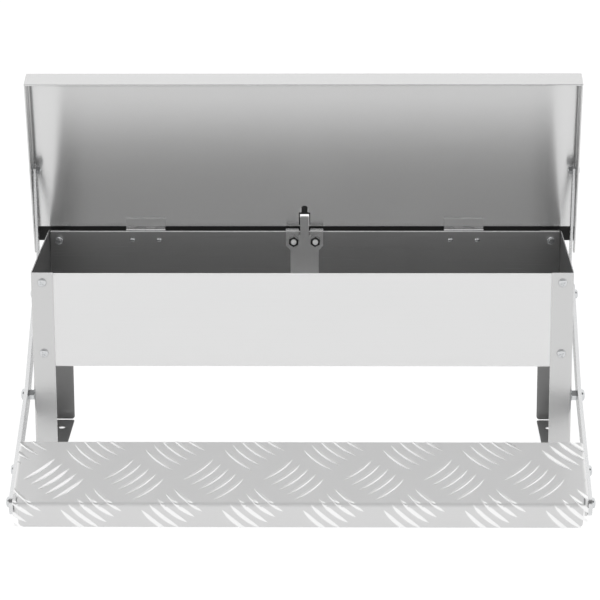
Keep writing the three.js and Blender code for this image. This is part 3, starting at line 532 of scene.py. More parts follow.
def screw_with_nut(grip):
    """A pan head screw with its nut at the far side of what it holds, seated at height zero."""
    seat = -grip
    end = seat - screw_nut[1] - screw_tip
    profile = tip_profile(end, screw_radius, 0) + dome(0, pan_height, pan_width)
    screw = as_object("screw", turned(profile, "Z", (0, 0)))
    joined_with(screw, cross_recess(pan_height), "DIFFERENCE")
    joined_with(screw, hex_nut(screw_nut[0], seat - screw_nut[1], seat), "UNION")
    return shaded(screw)


flange_centre = trough_half - flange_width / 2
thin_grip = sheet * 2 + contact * 3
hem_gap = 1.2
for end, grips in (("front", (thin_grip, thin_grip)), ("rear", (thin_grip + hem_gap, thin_grip))):
    for (level, drop), grip in zip(screw_drops.items(), grips):
        pattern = screw_with_nut(grip)
        for side, x in (("right", flange_centre), ("left", -flange_centre)):
            y = -contact if end == "front" else trough_depth + contact
            towards = "-Y" if end == "front" else "+Y"
            place = standing @ facing(towards, x, y, rim - drop, screw_spin[side])
            screw = copy_at(pattern, f"{end}_{level}_corner_screw_{side}", place)
            fitted(screw, "frame", "fastener_steel", zinc, f"{end}_screw_{level}_{side}")
        bpy.data.objects.remove(pattern)

# Centre bracket
# A strap of 2 mm steel behind the feed, bolted to the middle of the rear wall.
# Its head is bent back over the rim, and an upright tab between the bends meets the lid's buffer.
strap_sheet = 2.0
head_half = 20.5
strap_half = 15.5
tab_half = 4.7
tab_rise = 17.0
tab_relief = 1.5
head_drop = 16.0
head_slope = 5.0
strap_drop = 92.0
flap_reach = 8.4
flap_lift = 0.3
bracket_face = rear_face - hem_width - contact - strap_sheet
bracket_steel = steel("bracket_steel", (0.8, 0.8, 0.8), 0.2, (500.0, 500.0, 4.0), 0.0)
bolt_half_spacing = 11.8
bolt_drop = 10.5
bracket_nut = (10.0, 5.0)
bracket_head_height = 4.0
bracket_bolt_radius = 3.0
bracket_bolt_tip = 2.5
bracket_bolt_spin = 12
bracket_nut_spin = 25
# The bracket's nuts are painted near black, as a painted dark reflection of the unlit trough their faces
# mirror.
nut_painted_dark_reflection = steel("nut_painted_dark_reflection_steel", (0.05, 0.05, 0.05), 0.35, (60.0, 60.0, 60.0), 0.0)

shoulder = rim - head_drop
tab_root = rim - strap_sheet * 2
right_edge = [
    (strap_half, rim - strap_drop),
    (strap_half, shoulder - head_slope),
    (head_half, shoulder),
    (head_half, rim - strap_sheet),
    (tab_half + tab_relief, rim - strap_sheet),
    (tab_half + tab_relief, tab_root),
    (tab_half, tab_root),
    (tab_half, rim + tab_rise - 1),
    (tab_half - 1, rim + tab_rise),
]
bracket_outline = right_edge + [(-x, z) for x, z in right_edge[::-1]]
back = bracket_face + strap_sheet
bracket = as_object("bracket_strap", extruded(bracket_outline, bracket_face, back, "Y"), standing)
flap_top = rim + flap_lift + strap_sheet
flap_path = [(bracket_face + flap_reach, flap_top), (bracket_face, flap_top), (bracket_face, tab_root)]
flap_outline = fold(flap_path, strap_sheet, strap_sheet + contact)
for low, high in ((tab_half + tab_relief, head_half), (-head_half, -tab_half - tab_relief)):
    joined_with(bracket, as_object("flap", extruded(flap_outline, low, high, "X", True), standing), "UNION")
softened(bracket, 0.3)
fitted(bracket, "frame", "stainless_sheet", bracket_steel, "centre_bracket")

bolt_seat = rear_face + contact
nut_seat = bracket_face - contact
bolt_length = bolt_seat - nut_seat + bracket_nut[1] + bracket_bolt_tip
bolt_pattern = as_object("bolt", turned(tip_profile(-bolt_length, bracket_bolt_radius, 0), "Z", (0, 0)))
joined_with(bolt_pattern, hex_nut(bracket_nut[0], -0.2, bracket_head_height), "UNION")
shaded(bolt_pattern)
nut_pattern = hex_nut(bracket_nut[0], 0, bracket_nut[1])
bored(nut_pattern, bracket_bolt_radius + contact, bracket_nut[1] + 1)
shaded(nut_pattern)
for side, x in (("right", bolt_half_spacing), ("left", -bolt_half_spacing)):
    place = standing @ facing("+Y", x, bolt_seat, rim - bolt_drop, bracket_bolt_spin)
    bolt = copy_at(bolt_pattern, f"bracket_hex_bolt_{side}", place)
    # The bracket bolts get the same painted highlight, so their tips show bright.
    fitted(bolt, "frame", "fastener_steel", painted_highlight, f"bracket_bolt_{side}")
    place = standing @ facing("-Y", x, nut_seat, rim - bolt_drop, bracket_nut_spin)
    nut = copy_at(nut_pattern, f"bracket_hex_nut_{side}", place)
    fitted(nut, "frame", "fastener_steel", nut_painted_dark_reflection, f"bracket_nut_{side}")
bpy.data.objects.remove(bolt_pattern)
bpy.data.objects.remove(nut_pattern)

# Hinges
# Two butt hinges of 1.2 mm sheet, rolled round a plain pin: the lower leaf sits behind the rear wall,
# the upper one under the lid's overhang. Each leaf is held by two rivets.
hinge_y = 181.6
hinge_z = 218.5
hinge_middle = 173.7
hinge_width = 43.0
knuckles = 4
knuckle_gap = 0.4
knuckle_radius = 2.6
leaf_sheet = 1.2
leaf_inset = 0.1
leaf_gap = 0.3
lower_leaf_drop = 17.0
upper_leaf_reach = 13.0
pin_radius = 1.3
pin_chamfer = 0.4
leaf_edge = 0.15
rivet_half_spacing = 14.6
lower_rivet_drop = 10.5
upper_rivet_reach = 8.5
rivet_radius = 1.8
rivet_head = (6.6, 1.1)
rivet_tail = (5.4, 1.1)
hinge_steel = steel("hinge_steel", (0.7, 0.7, 0.7), 0.25, grain_across, 0.4)
lid_opening = 75.0
hinge_line = standing @ Matrix.Translation(Vector((0, hinge_y, hinge_z)) * MM)
lid_place = hinge_line @ Matrix.Rotation(math.radians(-lid_opening), 4, "X")


def rolled_knuckle(steps=22):
    """Side view of a leaf's rolled end: down the leaf's face, round the pin, and back inside."""
    face = leaf_inset - knuckle_radius
    inner = knuckle_radius - leaf_sheet
    leaf_end = -knuckle_radius - leaf_gap - leaf_sheet
    sweep = math.radians(300)
    outer = []
    inside = []
    for k in range(steps + 1):
        angle = math.pi - sweep * k / steps
        outer.append((knuckle_radius * math.cos(angle), knuckle_radius * math.sin(angle)))
        inside.append((inner * math.cos(angle), inner * math.sin(angle)))
    return [(face, leaf_end)] + outer + inside[::-1] + [(face + leaf_sheet, leaf_end)]


def leaf(first, drop):
    """The right-hand hinge's leaf, hanging from its knuckles: every second knuckle belongs to it."""
    left = hinge_middle - hinge_width / 2
    face = leaf_inset - knuckle_radius
    top = -knuckle_radius - leaf_gap
    plate = as_object("leaf", boxed((left, face, -drop), (left + hinge_width, face + leaf_sheet, top)))
    pitch_x = hinge_width / knuckles
    for k in range(first, knuckles, 2):
        low = left + pitch_x * k + knuckle_gap / 2
        high = left + pitch_x * (k + 1) - knuckle_gap / 2
        joined_with(plate, as_object("knuckle", extruded(rolled_knuckle(), low, high, "X")), "UNION")
    return plate


def mirrored(made, name):
    """The left-hand twin of a right-hand piece that lies in its own frame."""
    body = bmesh.new()
    body.from_mesh(made.data)
    bmesh.ops.scale(body, vec=(-1, 1, 1), verts=body.verts)
    bmesh.ops.reverse_faces(body, faces=body.faces)
    mesh = bpy.data.meshes.new(name)
    body.to_mesh(mesh)
    body.free()
    twin = bpy.data.objects.new(name, mesh)
    bpy.context.scene.collection.objects.link(twin)
    return twin


def both_sides(made, name, place, body, slot, metal, node, edge=0.25):
    """Sets a right-hand piece and its twin in place: edge is the width of their broken edges."""
    made.name = f"{name}_right"
    twin = mirrored(made, f"{name}_left")
    for side, each in (("right", made), ("left", twin)):
        each.data.transform(place)
        if edge:
            softened(each, edge)
        else:
            shaded(each)
        fitted(each, f"link_{side}" if body == "link" else body, slot, metal, f"{node}_{side}")


lower_leaf = leaf(0, lower_leaf_drop)
both_sides(lower_leaf, "lower_hinge_leaf", hinge_line, "frame", "stainless_sheet", hinge_steel,
           "hinge_lower_leaf", leaf_edge)
upper_leaf = leaf(1, upper_leaf_reach)
flip = Matrix.Scale(-1, 4, (0, 1, 0)) @ Matrix.Scale(-1, 4, (0, 0, 1))
flip = flip @ Matrix.Rotation(math.radians(90), 4, "X")
upper_leaf.data.transform(flip)
both_sides(upper_leaf, "upper_hinge_leaf", lid_place, "lid", "stainless_sheet", hinge_steel,
           "hinge_upper_leaf", leaf_edge)
pin_start, pin_end = hinge_middle - hinge_width / 2, hinge_middle + hinge_width / 2
pin_profile = [
    (pin_start, pin_radius * 0.7),
    (pin_start + pin_chamfer, pin_radius),
    (pin_end - pin_chamfer, pin_radius),
    (pin_end, pin_radius * 0.7),
]
pin = as_object("pin", turned(pin_profile, "X", (0, 0), 20))
both_sides(pin, "pin_of_hinge", hinge_line, "frame", "fastener_steel", zinc, "hinge_pin", 0)


def rivet(grip):
    """A rivet with a domed head above height zero, and its formed tail below the grip."""
    tail_radius = rivet_tail[0] / 2
    tail = [(-grip - rivet_tail[1], tail_radius * 0.55), (-grip - rivet_tail[1] * 0.7, tail_radius * 0.85),
            (-grip - rivet_tail[1] * 0.2, tail_radius), (-grip, tail_radius)]
    shank = [(-grip, rivet_radius), (0, rivet_radius)]
    head = dome(0, rivet_head[1], rivet_head[0], 0.2)
    return as_object("rivet", turned(tail + shank + head, "Z", (0, 0), 24))


lower_seat = leaf_sheet - knuckle_radius + contact
lower_grip = leaf_sheet + sheet + hem_gap + contact * 3
lid_under = knuckle_radius + leaf_gap
lid_sheet = 1.0
lid_top = lid_under + lid_sheet
upper_grip = leaf_sheet + leaf_gap + lid_sheet + contact * 2
for number, offset in ((1, -rivet_half_spacing), (2, rivet_half_spacing)):
    x = hinge_middle + offset
    low = rivet(lower_grip)
    low.data.transform(facing("+Y", x, lower_seat, -lower_rivet_drop))
    both_sides(low, f"lower_leaf_rivet_{number}", hinge_line, "frame", "fastener_steel", zinc,
               f"lower_rivet_{number}", 0)
    up = rivet(upper_grip)
    up.data.transform(Matrix.Translation(Vector((x, upper_rivet_reach, lid_top + contact)) * MM))
    both_sides(up, f"upper_leaf_rivet_{number}", lid_place, "lid", "fastener_steel", zinc,
               f"upper_rivet_{number}", 0)

# Lid
# One sheet of 1 mm brushed stainless: a flat top, a front lip and two side walls, all with hemmed edges.
# It stands open at 75 degrees. A slot near its hinge edge clears the bracket's tab.
lid_half = 294.2
lid_reach = 188.2
lid_overhang = 15.0
lid_depth = 28.4
lid_hem = 8.0
corner_slit = 0.35
lid_steel = steel("lid_brushed_steel", (0.69, 0.69, 0.69), 0.22, grain_across, 1.0, mirror=0.93)
painted_shade_start = -2.7
painted_gap_shade = steel("painted_gap_shade_steel", (0.03, 0.03, 0.03), 0.5, grain_across)
lip_bend = 2.4
slot_start = 3.5
slot_end = 19.6
slot_half = 6.3
key_half = 3.9
key_end = 28.1

lid_edge = lid_top - lid_depth
lip_back = -lid_reach + hem_width
lip_path = [
    (lid_overhang, lid_top),
    (-lid_reach, lid_top),
    (-lid_reach, lid_edge),
    (lip_back, lid_edge),
    (lip_back, lid_edge + lid_hem),
]
lip_outline = fold(lip_path, lid_sheet, [lip_bend, hem_bend, hem_bend])
lid = as_object("lid_sheet", extruded(lip_outline, -lid_half, lid_half, "X", True))
wall_half = [
    (lid_half - hem_width, lid_edge + lid_hem),
    (lid_half - hem_width, lid_edge),
    (lid_half, lid_edge),
    (lid_half, lid_top),
]
wall_path = wall_half + [(-x, z) for x, z in wall_half[::-1]]
wall_outline = fold(wall_path, lid_sheet, [hem_bend, hem_bend, bend, bend, hem_bend, hem_bend])
walls_start = -lid_reach + lid_sheet
far = 40.0
for side in (-1, 1):
    low_x, high_x = sorted((side * (lid_half - bend), side * (lid_half + far)))
    strip_low = (low_x, walls_start + corner_slit, lid_under - far)
    strip = boxed(strip_low, (high_x, lid_overhang + far, lid_top + far))
    joined_with(lid, as_object("strip", strip), "DIFFERENCE")
walls = as_object("walls", extruded(wall_outline, walls_start + corner_slit, lid_overhang, "Y", True))
joined_with(lid, walls, "UNION")
slot_blocks = [
    boxed((-slot_half, -slot_end, lid_under - 2), (slot_half, -slot_start, lid_top + 2)),
    boxed((-key_half, key_half - key_end, lid_under - 2), (key_half, -slot_start - leaf_gap, lid_top + 2)),
    turned([(lid_under - 2, key_half), (lid_top + 2, key_half)], "Z", (0, key_half - key_end), 40),
]
for block in slot_blocks:
    joined_with(lid, as_object("slot_block", block), "DIFFERENCE")
# On the underside, the strip over the gap behind the trough is painted dark: a painted reflection of the
# dark gap that bright metal mirrors there.
parted = bmesh.new()
parted.from_mesh(lid.data)
everything = parted.verts[:] + parted.edges[:] + parted.faces[:]
bmesh.ops.bisect_plane(parted, geom=everything, plane_co=(0, painted_shade_start * MM, 0), plane_no=(0, 1, 0))
for face in parted.faces:
    middle = face.calc_center_median() / MM
    under = face.normal.z < -0.9 and abs(middle.z - lid_under) < contact
    face.material_index = int(under and middle.y > painted_shade_start)
parted.to_mesh(lid.data)
parted.free()
painted_shade_faces = [face.index for face in lid.data.polygons if face.material_index]
lid.data.transform(lid_place)
softened(lid)
fitted(lid, "lid", "brushed_stainless", lid_steel, "lid_shell")
# The strip beside the hinge gets its painted dark reflection.
lid.data.materials.append(painted_gap_shade)
for index in painted_shade_faces:
    lid.data.polygons[index].material_index = 1

# Rubber buffer
# A black rubber piece pushed into the slot: it fills the rounded end and lines both sides,
# so that the lid stops softly against the bracket's tab.
buffer_height = 3.0
buffer_wall = 1.35
buffer_end = 27.8
buffer_half = 6.25
buffer_key = 3.6
buffer_start = 4.2
rubber = bpy.data.materials.new("black_rubber")
rubber.use_nodes = True
rubber_shader = rubber.node_tree.nodes["Principled BSDF"]
rubber_shader.inputs["Base Color"].default_value = (0.012, 0.012, 0.012, 1)
grit = rubber.node_tree.nodes.new("ShaderNodeTexNoise")
set_sockets(grit, {"Scale": 1500.0})
grit_range = rubber.node_tree.nodes.new("ShaderNodeMapRange")
set_sockets(grit_range, {"To Min": 0.45, "To Max": 0.75})
rubber_where = rubber.node_tree.nodes.new("ShaderNodeTexCoord")
rubber.node_tree.links.new(rubber_where.outputs["Object"], grit.inputs["Vector"])
rubber.node_tree.links.new(grit.outputs["Fac"], grit_range.inputs["Value"])
rubber.node_tree.links.new(grit_range.outputs["Result"], rubber_shader.inputs["Roughness"])


def arc(centre, radius, start, end, steps=16):
    """Points on an arc, in degrees from start to end."""
    angles = [math.radians(start + (end - start) * k / steps) for k in range(steps + 1)]
    return [(centre[0] + radius * math.cos(a), centre[1] + radius * math.sin(a)) for a in angles]


shoulder_y = -slot_end + leaf_gap
buffer_inner = buffer_half - buffer_wall
nose_y = shoulder_y + buffer_wall
buffer_outline = (
    [(-buffer_half, -buffer_start), (-buffer_half, shoulder_y), (-buffer_key, shoulder_y)]
    + arc((0, buffer_key - buffer_end), buffer_key, 180, 360)
    + [(buffer_key, shoulder_y), (buffer_half, shoulder_y), (buffer_half, -buffer_start)]
    + [(buffer_inner, -buffer_start), (buffer_inner, nose_y), (-buffer_inner, nose_y)]
    + [(-buffer_inner, -buffer_start)]
)
buffer_middle = (lid_under + lid_top) / 2
buffer_levels = (buffer_middle - buffer_height / 2, buffer_middle + buffer_height / 2)
buffer = as_object("rubber_slot_buffer", extruded(buffer_outline, *buffer_levels, "Z"), lid_place)
softened(buffer, 0.4, 3)
fitted(buffer, "lid", "rubber", rubber, "slot_buffer")

# Tread plate
# Five-bar aluminium tread sheet, 2.5 mm thick, with a folded front lip and folded-down ends.
# The corners behind the lip are notched, and the rolled bars run over the bend onto the lip.
pivot_y = 8.0
pivot_z = 84.3
treadle_tilt = 22.744
plate_half = 285.9
plate_setoff = 96.5
plate_depth = 93.1
plate_rise = 19.0
plate_sheet = 2.5
plate_bend = 4.0
plate_lip = 30.6
plate_end_depth = 29.5
notch = (5.6, 16.0)
lip_corner = 6.0
pivot_place = standing @ Matrix.Translation(Vector((0, pivot_y, pivot_z)) * MM)
treadle_place = pivot_place @ Matrix.Rotation(math.radians(treadle_tilt), 4, "X")
tread_metal = steel("tread_aluminium", (0.82, 0.82, 0.82), 0.46, (6.0, 3000.0, 3000.0), 0.95)

plate_front = plate_setoff + plate_depth
lip_low = plate_rise - plate_lip
plate_lip_path = [(-plate_setoff, plate_rise), (-plate_front, plate_rise), (-plate_front, lip_low)]
plate_outline = fold(plate_lip_path, plate_sheet, plate_bend)
plate = as_object("tread_plate_sheet", extruded(plate_outline, -plate_half, plate_half, "X", True))
notch_start = notch[1] - plate_front
end_low = plate_rise - plate_end_depth
end_half = [(plate_half, end_low), (plate_half, plate_rise)]
end_path = end_half + [(-x, z) for x, z in end_half[::-1]]
for side in (-1, 1):
    notch_x = side * (plate_half - notch[0])
    low_x, high_x = sorted((notch_x, side * (plate_half + far)))
    cut = boxed((low_x, -plate_front - far, lip_low - far), (high_x, notch_start, plate_rise + far))
    joined_with(plate, as_object("cut", cut), "DIFFERENCE")
    lip_faces = (-plate_front - 1, plate_sheet + 1 - plate_front)
    rounding = corner_cutter((notch_x, lip_low), (-side, 1), lip_corner, *lip_faces, "Y")
    joined_with(plate, rounding, "DIFFERENCE")
    low_x, high_x = sorted((side * (plate_half - plate_bend), side * (plate_half + far)))
    strip = boxed((low_x, notch_start, plate_rise - far), (high_x, far - plate_setoff, plate_rise + far))
    joined_with(plate, as_object("strip", strip), "DIFFERENCE")
ends = extruded(fold(end_path, plate_sheet, plate_bend), notch_start, -plate_setoff, "Y", True)
joined_with(plate, as_object("ends", ends), "UNION")
plate.data.transform(treadle_place)
softened(plate, 0.35)
fitted(plate, "treadle", "tread_aluminium", tread_metal, "tread_plate")

bar_half = 21.5
bar_pitch = 10.7
bar_width = 4.6
bar_bow = 1.9
bar_height = 1.3
bar_crest = 0.55
bar_root = 0.4
bar_sink = 0.02
bar_side_gap = 1.0
bar_rear_gap = 0.1
bar_lip_gap = 0.3
bar_angle = 47.0
group_pitch = 80.0
row_pitch = 43.8
first_row = 12.0
group_shift = -46.9
bars_in_group = 5
along_steps = 20
across_steps = 14
flat_length = plate_depth - plate_bend
bend_length = plate_bend * math.pi / 2
sheet_length = flat_length + bend_length + plate_lip - plate_bend
foremost = flat_length + plate_bend * math.radians(90 - treadle_tilt)
pressed_share = 0.1
pressed_reach = 3.0
bar_metal = steel("raised_bar_aluminium", (0.9, 0.9, 0.9), 0.34, (40.0, 400.0, 400.0), 0.5)


def on_sheet(x, s, h):
    """A point of the unrolled tread sheet, s from its rear edge and h above it, set on the folded sheet.

    The press flattens the bars where the sheet is bent.
    """
    if h > 0:
        h *= min(1.0, pressed_share + ((s - foremost) / pressed_reach) ** 2)
    if s <= flat_length:
        return (x, -plate_setoff - s, plate_rise + h)
    if s >= flat_length + bend_length:
        return (x, -plate_front - h, plate_rise - plate_bend - (s - flat_length - bend_length))
    angle = (s - flat_length) / plate_bend
    reach = plate_bend + h
    across, up = reach * math.sin(angle), reach * math.cos(angle)
    return (x, plate_bend - plate_front - across, plate_rise - plate_bend + up)


def add_bar(body, centre_x, centre_s, offset, angle):
    """One raised bar, pointed at both ends and bowed to one side, on the unrolled sheet."""
    c, s = math.cos(angle), math.sin(angle)

    def spot(a, b, h):
        return body.verts.new((centre_x + a * c - b * s, centre_s - a * s - b * c, h))

    rows = []
    for i in range(1, along_steps):
        t = -math.cos(math.pi * i / along_steps)
        middle = offset + bar_bow * (1 - t * t)
        half = bar_width / 2 * (1 - abs(t) ** 3)
        crest = bar_height * (1 - t ** 4)
        row = []
        for j in range(across_steps + 1):
            w = -math.cos(math.pi * j / across_steps)
            gentle = ((w + 1) / (bar_crest + 1)) ** 1.2
            steep = math.sqrt(max(0, 1 - ((w - bar_crest) / (1 - bar_crest)) ** 2))
            height = crest * (gentle if w < bar_crest else steep)
            row.append(spot(t * bar_half, middle + half * w, height - bar_sink))
        row.append(spot(t * bar_half, middle + half, -bar_root))
        row.append(spot(t * bar_half, middle - half, -bar_root))
        rows.append(row)
    count = len(rows[0])
    for row, following in zip(rows, rows[1:]):
        for j in range(count):
            body.faces.new((row[j], row[(j + 1) % count], following[(j + 1) % count], following[j]))
    for row, t in ((rows[0], -1), (rows[-1], 1)):
        tip = spot(t * bar_half, offset, -bar_root / 2)
        for j in range(count):
            body.faces.new((row[j], row[(j + 1) % count], tip))


pattern = bmesh.new()
columns = int(plate_half // group_pitch) + 2
for row in range(3):
    lean = -1 if row % 2 == 0 else 1
    shift = group_shift + (row % 2) * group_pitch / 2
    for column in range(-columns, columns + 1):
        for bar in range(bars_in_group):
            offset = (bar - (bars_in_group - 1) / 2) * bar_pitch
            angle = math.radians(lean * bar_angle + 180)
            add_bar(pattern, column * group_pitch + shift, first_row + row * row_pitch, offset, angle)
bmesh.ops.recalc_face_normals(pattern, faces=pattern.faces)
side_limit = plate_half - bar_side_gap
limits = [
    ((side_limit, 0, 0), (1, 0, 0)),
    ((-side_limit, 0, 0), (-1, 0, 0)),
    ((0, bar_rear_gap, 0), (0, -1, 0)),
    ((0, sheet_length - bar_lip_gap, 0), (0, 1, 0)),
]
for spot, outward in limits:
    everything = pattern.verts[:] + pattern.edges[:] + pattern.faces[:]
    bmesh.ops.bisect_plane(
        pattern, geom=everything, plane_co=spot, plane_no=outward, clear_outer=True, dist=1e-5
    )
    open_edges = [e for e in pattern.edges if e.is_boundary]
    bmesh.ops.holes_fill(pattern, edges=open_edges, sides=0)
for vert in pattern.verts:
    vert.co = on_sheet(*vert.co)
bmesh.ops.recalc_face_normals(pattern, faces=pattern.faces)
bars = as_object("tread_raised_bars", pattern)
bars.data.transform(treadle_place)
shaded(bars, 50)
fitted(bars, "treadle", "tread_aluminium", bar_metal)

# Lever arms
# Two flat arms of 4 mm steel, outside the side panels. Each has two straight legs that meet at the
# main pivot: the front leg carries the tread plate, the rear one pushes a link up to the lid.
arm_inner = 286.2
arm_outer = 290.2
arm_radius = 11.0
arm_front = -179.0
arm_steel = steel("arm_steel", (0.68, 0.685, 0.69), 0.26, (300.0, 300.0, 300.0), 0.0)
link_foot = Vector((104.0, 80.7))
bolt_reaches = {"rear": 117.8, "front": 165.8}
arm_hole = 3.2


def spun(point, degrees):
    """A point of the side view, turned about zero."""
    c, s = math.cos(math.radians(degrees)), math.sin(math.radians(degrees))
    return Vector((point.x * c - point.y * s, point.x * s + point.y * c))


arm_rear = spun(link_foot, -treadle_tilt)
knee = math.degrees(math.atan2(arm_rear.y, arm_rear.x))
knee_reach = arm_radius / math.cos(math.radians(knee / 2))
inner_knee = (-knee_reach * math.sin(math.radians(knee / 2)), knee_reach * math.cos(math.radians(knee / 2)))
arm_outline = (
    arc((arm_front + arm_radius, 0), arm_radius, 90, 270)
    + arc((0, 0), arm_radius, -90, knee - 90, 4)
    + arc(arm_rear, arm_radius, knee - 90, knee + 90)
    + [inner_knee]
)
arm = as_object("arm", extruded(arm_outline, arm_inner, arm_outer, "X"))
for centre in [(0, 0), arm_rear] + [(-reach, 0) for reach in bolt_reaches.values()]:
    hole = as_object("hole", turned([(arm_inner - 1, arm_hole), (arm_outer + 1, arm_hole)], "X", centre))
    joined_with(arm, hole, "DIFFERENCE")
both_sides(arm, "treadle_arm", treadle_place, "treadle", "stainless_sheet", arm_steel, "lever_arm", 0.35)

# Bolts of the tread plate
# Four M6 bolts with low round heads outside the arms, and nuts inside the plate's folded ends.
head_seat = arm_outer + contact
plate_bolt_head = (11.0, 3.8)
plate_bolt_radius = 3.0
plate_nut = (10.0, 5.0)
plate_bolt_tip = 2.0
plate_grip = head_seat - (plate_half - plate_sheet - contact)
plate_bolt_end = -plate_grip - plate_nut[1] - plate_bolt_tip
plate_bolt_profile = tip_profile(plate_bolt_end, plate_bolt_radius, 0)
plate_bolt_profile += dome(0, plate_bolt_head[1], plate_bolt_head[0])
for name, reach in bolt_reaches.items():
    bolt = as_object("bolt", turned(plate_bolt_profile, "Z", (0, 0)))
    joined_with(bolt, hex_nut(plate_nut[0], -plate_grip - plate_nut[1], -plate_grip), "UNION")
    bolt.data.transform(facing("+X", head_seat, -reach, 0))
    both_sides(bolt, f"tread_plate_bolt_{name}", treadle_place, "treadle", "fastener_steel", zinc,
               f"plate_bolt_{name}", 0)

# Main pivots
# An M6 bolt through each arm and side panel. A flanged nut keeps the arm off the panel,
# and a lock nut holds the bolt inside.
pivot_head = (12.6, 4.2)
pivot_radius = 3.0
pivot_nut = (10.0, 5.0)
flange_of_nut = (12.4, 0.9)
flange_chamfer = 0.8
spacer_spin = 20
lock_spin = 10
lock_nut_height = 4.1
pivot_tip = 2.0
pivot_end = trough_half - sheet - contact - lock_nut_height - flange_of_nut[1] - pivot_tip - head_seat
pivot_profile = tip_profile(pivot_end, pivot_radius, 0) + dome(0, pivot_head[1], pivot_head[0])
pivot = as_object("pivot", turned(pivot_profile, "Z", (0, 0), 40))
pivot.data.transform(facing("+X", head_seat, 0, 0))
both_sides(pivot, "main_pivot_bolt", pivot_place, "frame", "fastener_steel", zinc, "pivot_bolt", 0)


def flanged_nut(height):
    """A nut on its own round flange, seated at height zero."""
    nut = hex_nut(pivot_nut[0], flange_of_nut[1] / 2, flange_of_nut[1] + height)
    radius, thickness = flange_of_nut[0] / 2, flange_of_nut[1]
    rim_profile = [(0, radius), (thickness * 0.4, radius), (thickness, radius - flange_chamfer)]
    joined_with(nut, as_object("rim", turned(rim_profile, "Z", (0, 0), 40)), "UNION")
    return bored(nut, pivot_radius + contact, height + 3)


spacer = flanged_nut(pivot_nut[1])
spacer.data.transform(facing("+X", trough_half + contact, 0, 0, spacer_spin))
both_sides(spacer, "pivot_spacer_nut", pivot_place, "frame", "fastener_steel", zinc, "spacer_nut", 0)
lock = flanged_nut(lock_nut_height)
lock.data.transform(facing("-X", trough_half - sheet - contact, 0, 0, lock_spin))
both_sides(lock, "pivot_lock_nut", pivot_place, "frame", "fastener_steel", zinc, "lock_nut", 0)

# Links
# A flat bar on each side joins the arm's rear end to the lid. It leans outwards, from inside the arm
# at its foot to inside the lid's side wall at its head, and turns on a rivet below and a bolt above.
link_sheet = 2.5
link_radius = 7.0
link_foot_x = 282.9
link_lean = 5.8
link_gap = 0.4
lid_pivot = Vector((-78.0, -8.0))
lid_bolt_hole = 2.7
foot_point = Vector((pivot_y, pivot_z)) + link_foot
head_point = Vector((hinge_y, hinge_z)) + spun(lid_pivot, -lid_opening)
link_line = head_point - foot_point
link_length = link_line.length
link_turn = math.atan2(link_line.y, link_line.x) - math.pi / 2
link_place = standing @ Matrix.Translation(Vector((0, foot_point.x, foot_point.y)) * MM)
link_place = link_place @ Matrix.Rotation(link_turn, 4, "X")
link_outline = arc((0, 0), link_radius, 180, 360) + arc((0, link_length), link_radius, 0, 180)
link_body = extruded(link_outline, 0, link_sheet, "X")
for vert in link_body.verts:
    vert.co.x += link_foot_x + vert.co.z * link_lean / link_length
link_bar = as_object("link_bar", link_body)
link_ends = (((0, 0), arm_hole, link_foot_x), ((0, link_length), lid_bolt_hole, link_foot_x + link_lean))
for centre, radius, x in link_ends:
    hole = as_object("hole", turned([(x - 2, radius), (x + link_sheet + 2, radius)], "X", centre))
    joined_with(link_bar, hole, "DIFFERENCE")
both_sides(link_bar, "lid_link", link_place, "link", "stainless_sheet", arm_steel, "link", 0.3)

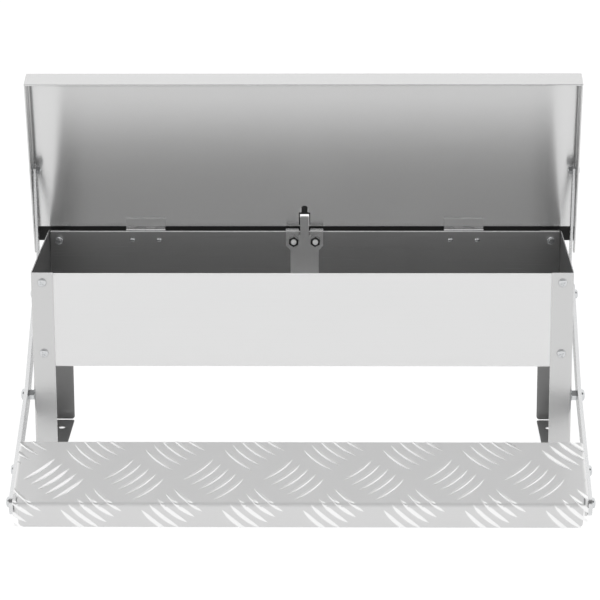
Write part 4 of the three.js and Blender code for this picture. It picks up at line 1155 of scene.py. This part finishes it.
# Joints of the links
# A rivet at each link's foot holds it to the arm's rear end, and a bolt at its head passes through
# the lid's side wall, a thin spacer and the link, with a nut inside.
link_rivet_tail = (9.0, 1.4)
link_rivet_head = (10.0, 3.6)
link_rivet_radius = 3.0
foot_seat = link_foot_x - link_gap
tail_low = foot_seat - link_rivet_tail[1]
tail_profile = [
    (tail_low, link_rivet_tail[0] * 0.3),
    (tail_low + 0.4, link_rivet_tail[0] * 0.44),
    (tail_low + 1.1, link_rivet_tail[0] * 0.5),
    (foot_seat, link_rivet_tail[0] * 0.5),
    (foot_seat, link_rivet_radius),
    (arm_inner - 0.3, link_rivet_radius),
]
tail = as_object("tail", turned(tail_profile, "X", (0, 0)))
both_sides(tail, "link_foot_rivet", link_place, "link", "fastener_steel", zinc, "link_rivet", 0)
foot_head = [(arm_inner - head_seat, link_rivet_radius), (0, link_rivet_radius)]
foot_head += dome(0, link_rivet_head[1], link_rivet_head[0])
foot_rivet = as_object("head", turned(foot_head, "Z", (0, 0)))
foot_rivet.data.transform(facing("+X", head_seat, arm_rear.x, arm_rear.y))
both_sides(foot_rivet, "arm_end_rivet_head", treadle_place, "treadle", "fastener_steel", zinc,
           "link_bolt", 0)

lid_bolt_radius = 2.5
lid_bolt_head = (9.0, 2.0)
lid_nut = (8.0, 4.0)
spacer_radius = 4.0
spacer_height = 1.6
lid_bolt_tip = 1.2
lid_nut_spin = 15
lid_head_seat = lid_half + contact
nut_top = link_foot_x + link_lean - link_gap
spacer_top = lid_half - lid_sheet - contact
lid_bolt_end = nut_top - lid_nut[1] - lid_bolt_tip - lid_head_seat
spacer_low = spacer_top - spacer_height - lid_head_seat
lid_bolt_profile = tip_profile(lid_bolt_end, lid_bolt_radius, spacer_low)
lid_bolt_profile += [
    (spacer_low, spacer_radius),
    (spacer_top - lid_head_seat, spacer_radius),
    (spacer_top - lid_head_seat, lid_bolt_radius),
    (0, lid_bolt_radius),
] + dome(0, lid_bolt_head[1], lid_bolt_head[0])
lid_bolt = as_object("lid_bolt", turned(lid_bolt_profile, "Z", (0, 0)))
lid_bolt.data.transform(facing("+X", lid_head_seat, lid_pivot.x, lid_pivot.y))
both_sides(lid_bolt, "lid_side_bolt", lid_place, "lid", "fastener_steel", zinc, "lid_bolt", 0)
nut = bored(hex_nut(lid_nut[0], 0, lid_nut[1]), lid_bolt_radius + contact, lid_nut[1] + 1)
nut.data.transform(facing("-X", nut_top, lid_pivot.x, lid_pivot.y, lid_nut_spin))
both_sides(nut, "lid_side_nut", lid_place, "lid", "fastener_steel", zinc, "lid_nut", 0)
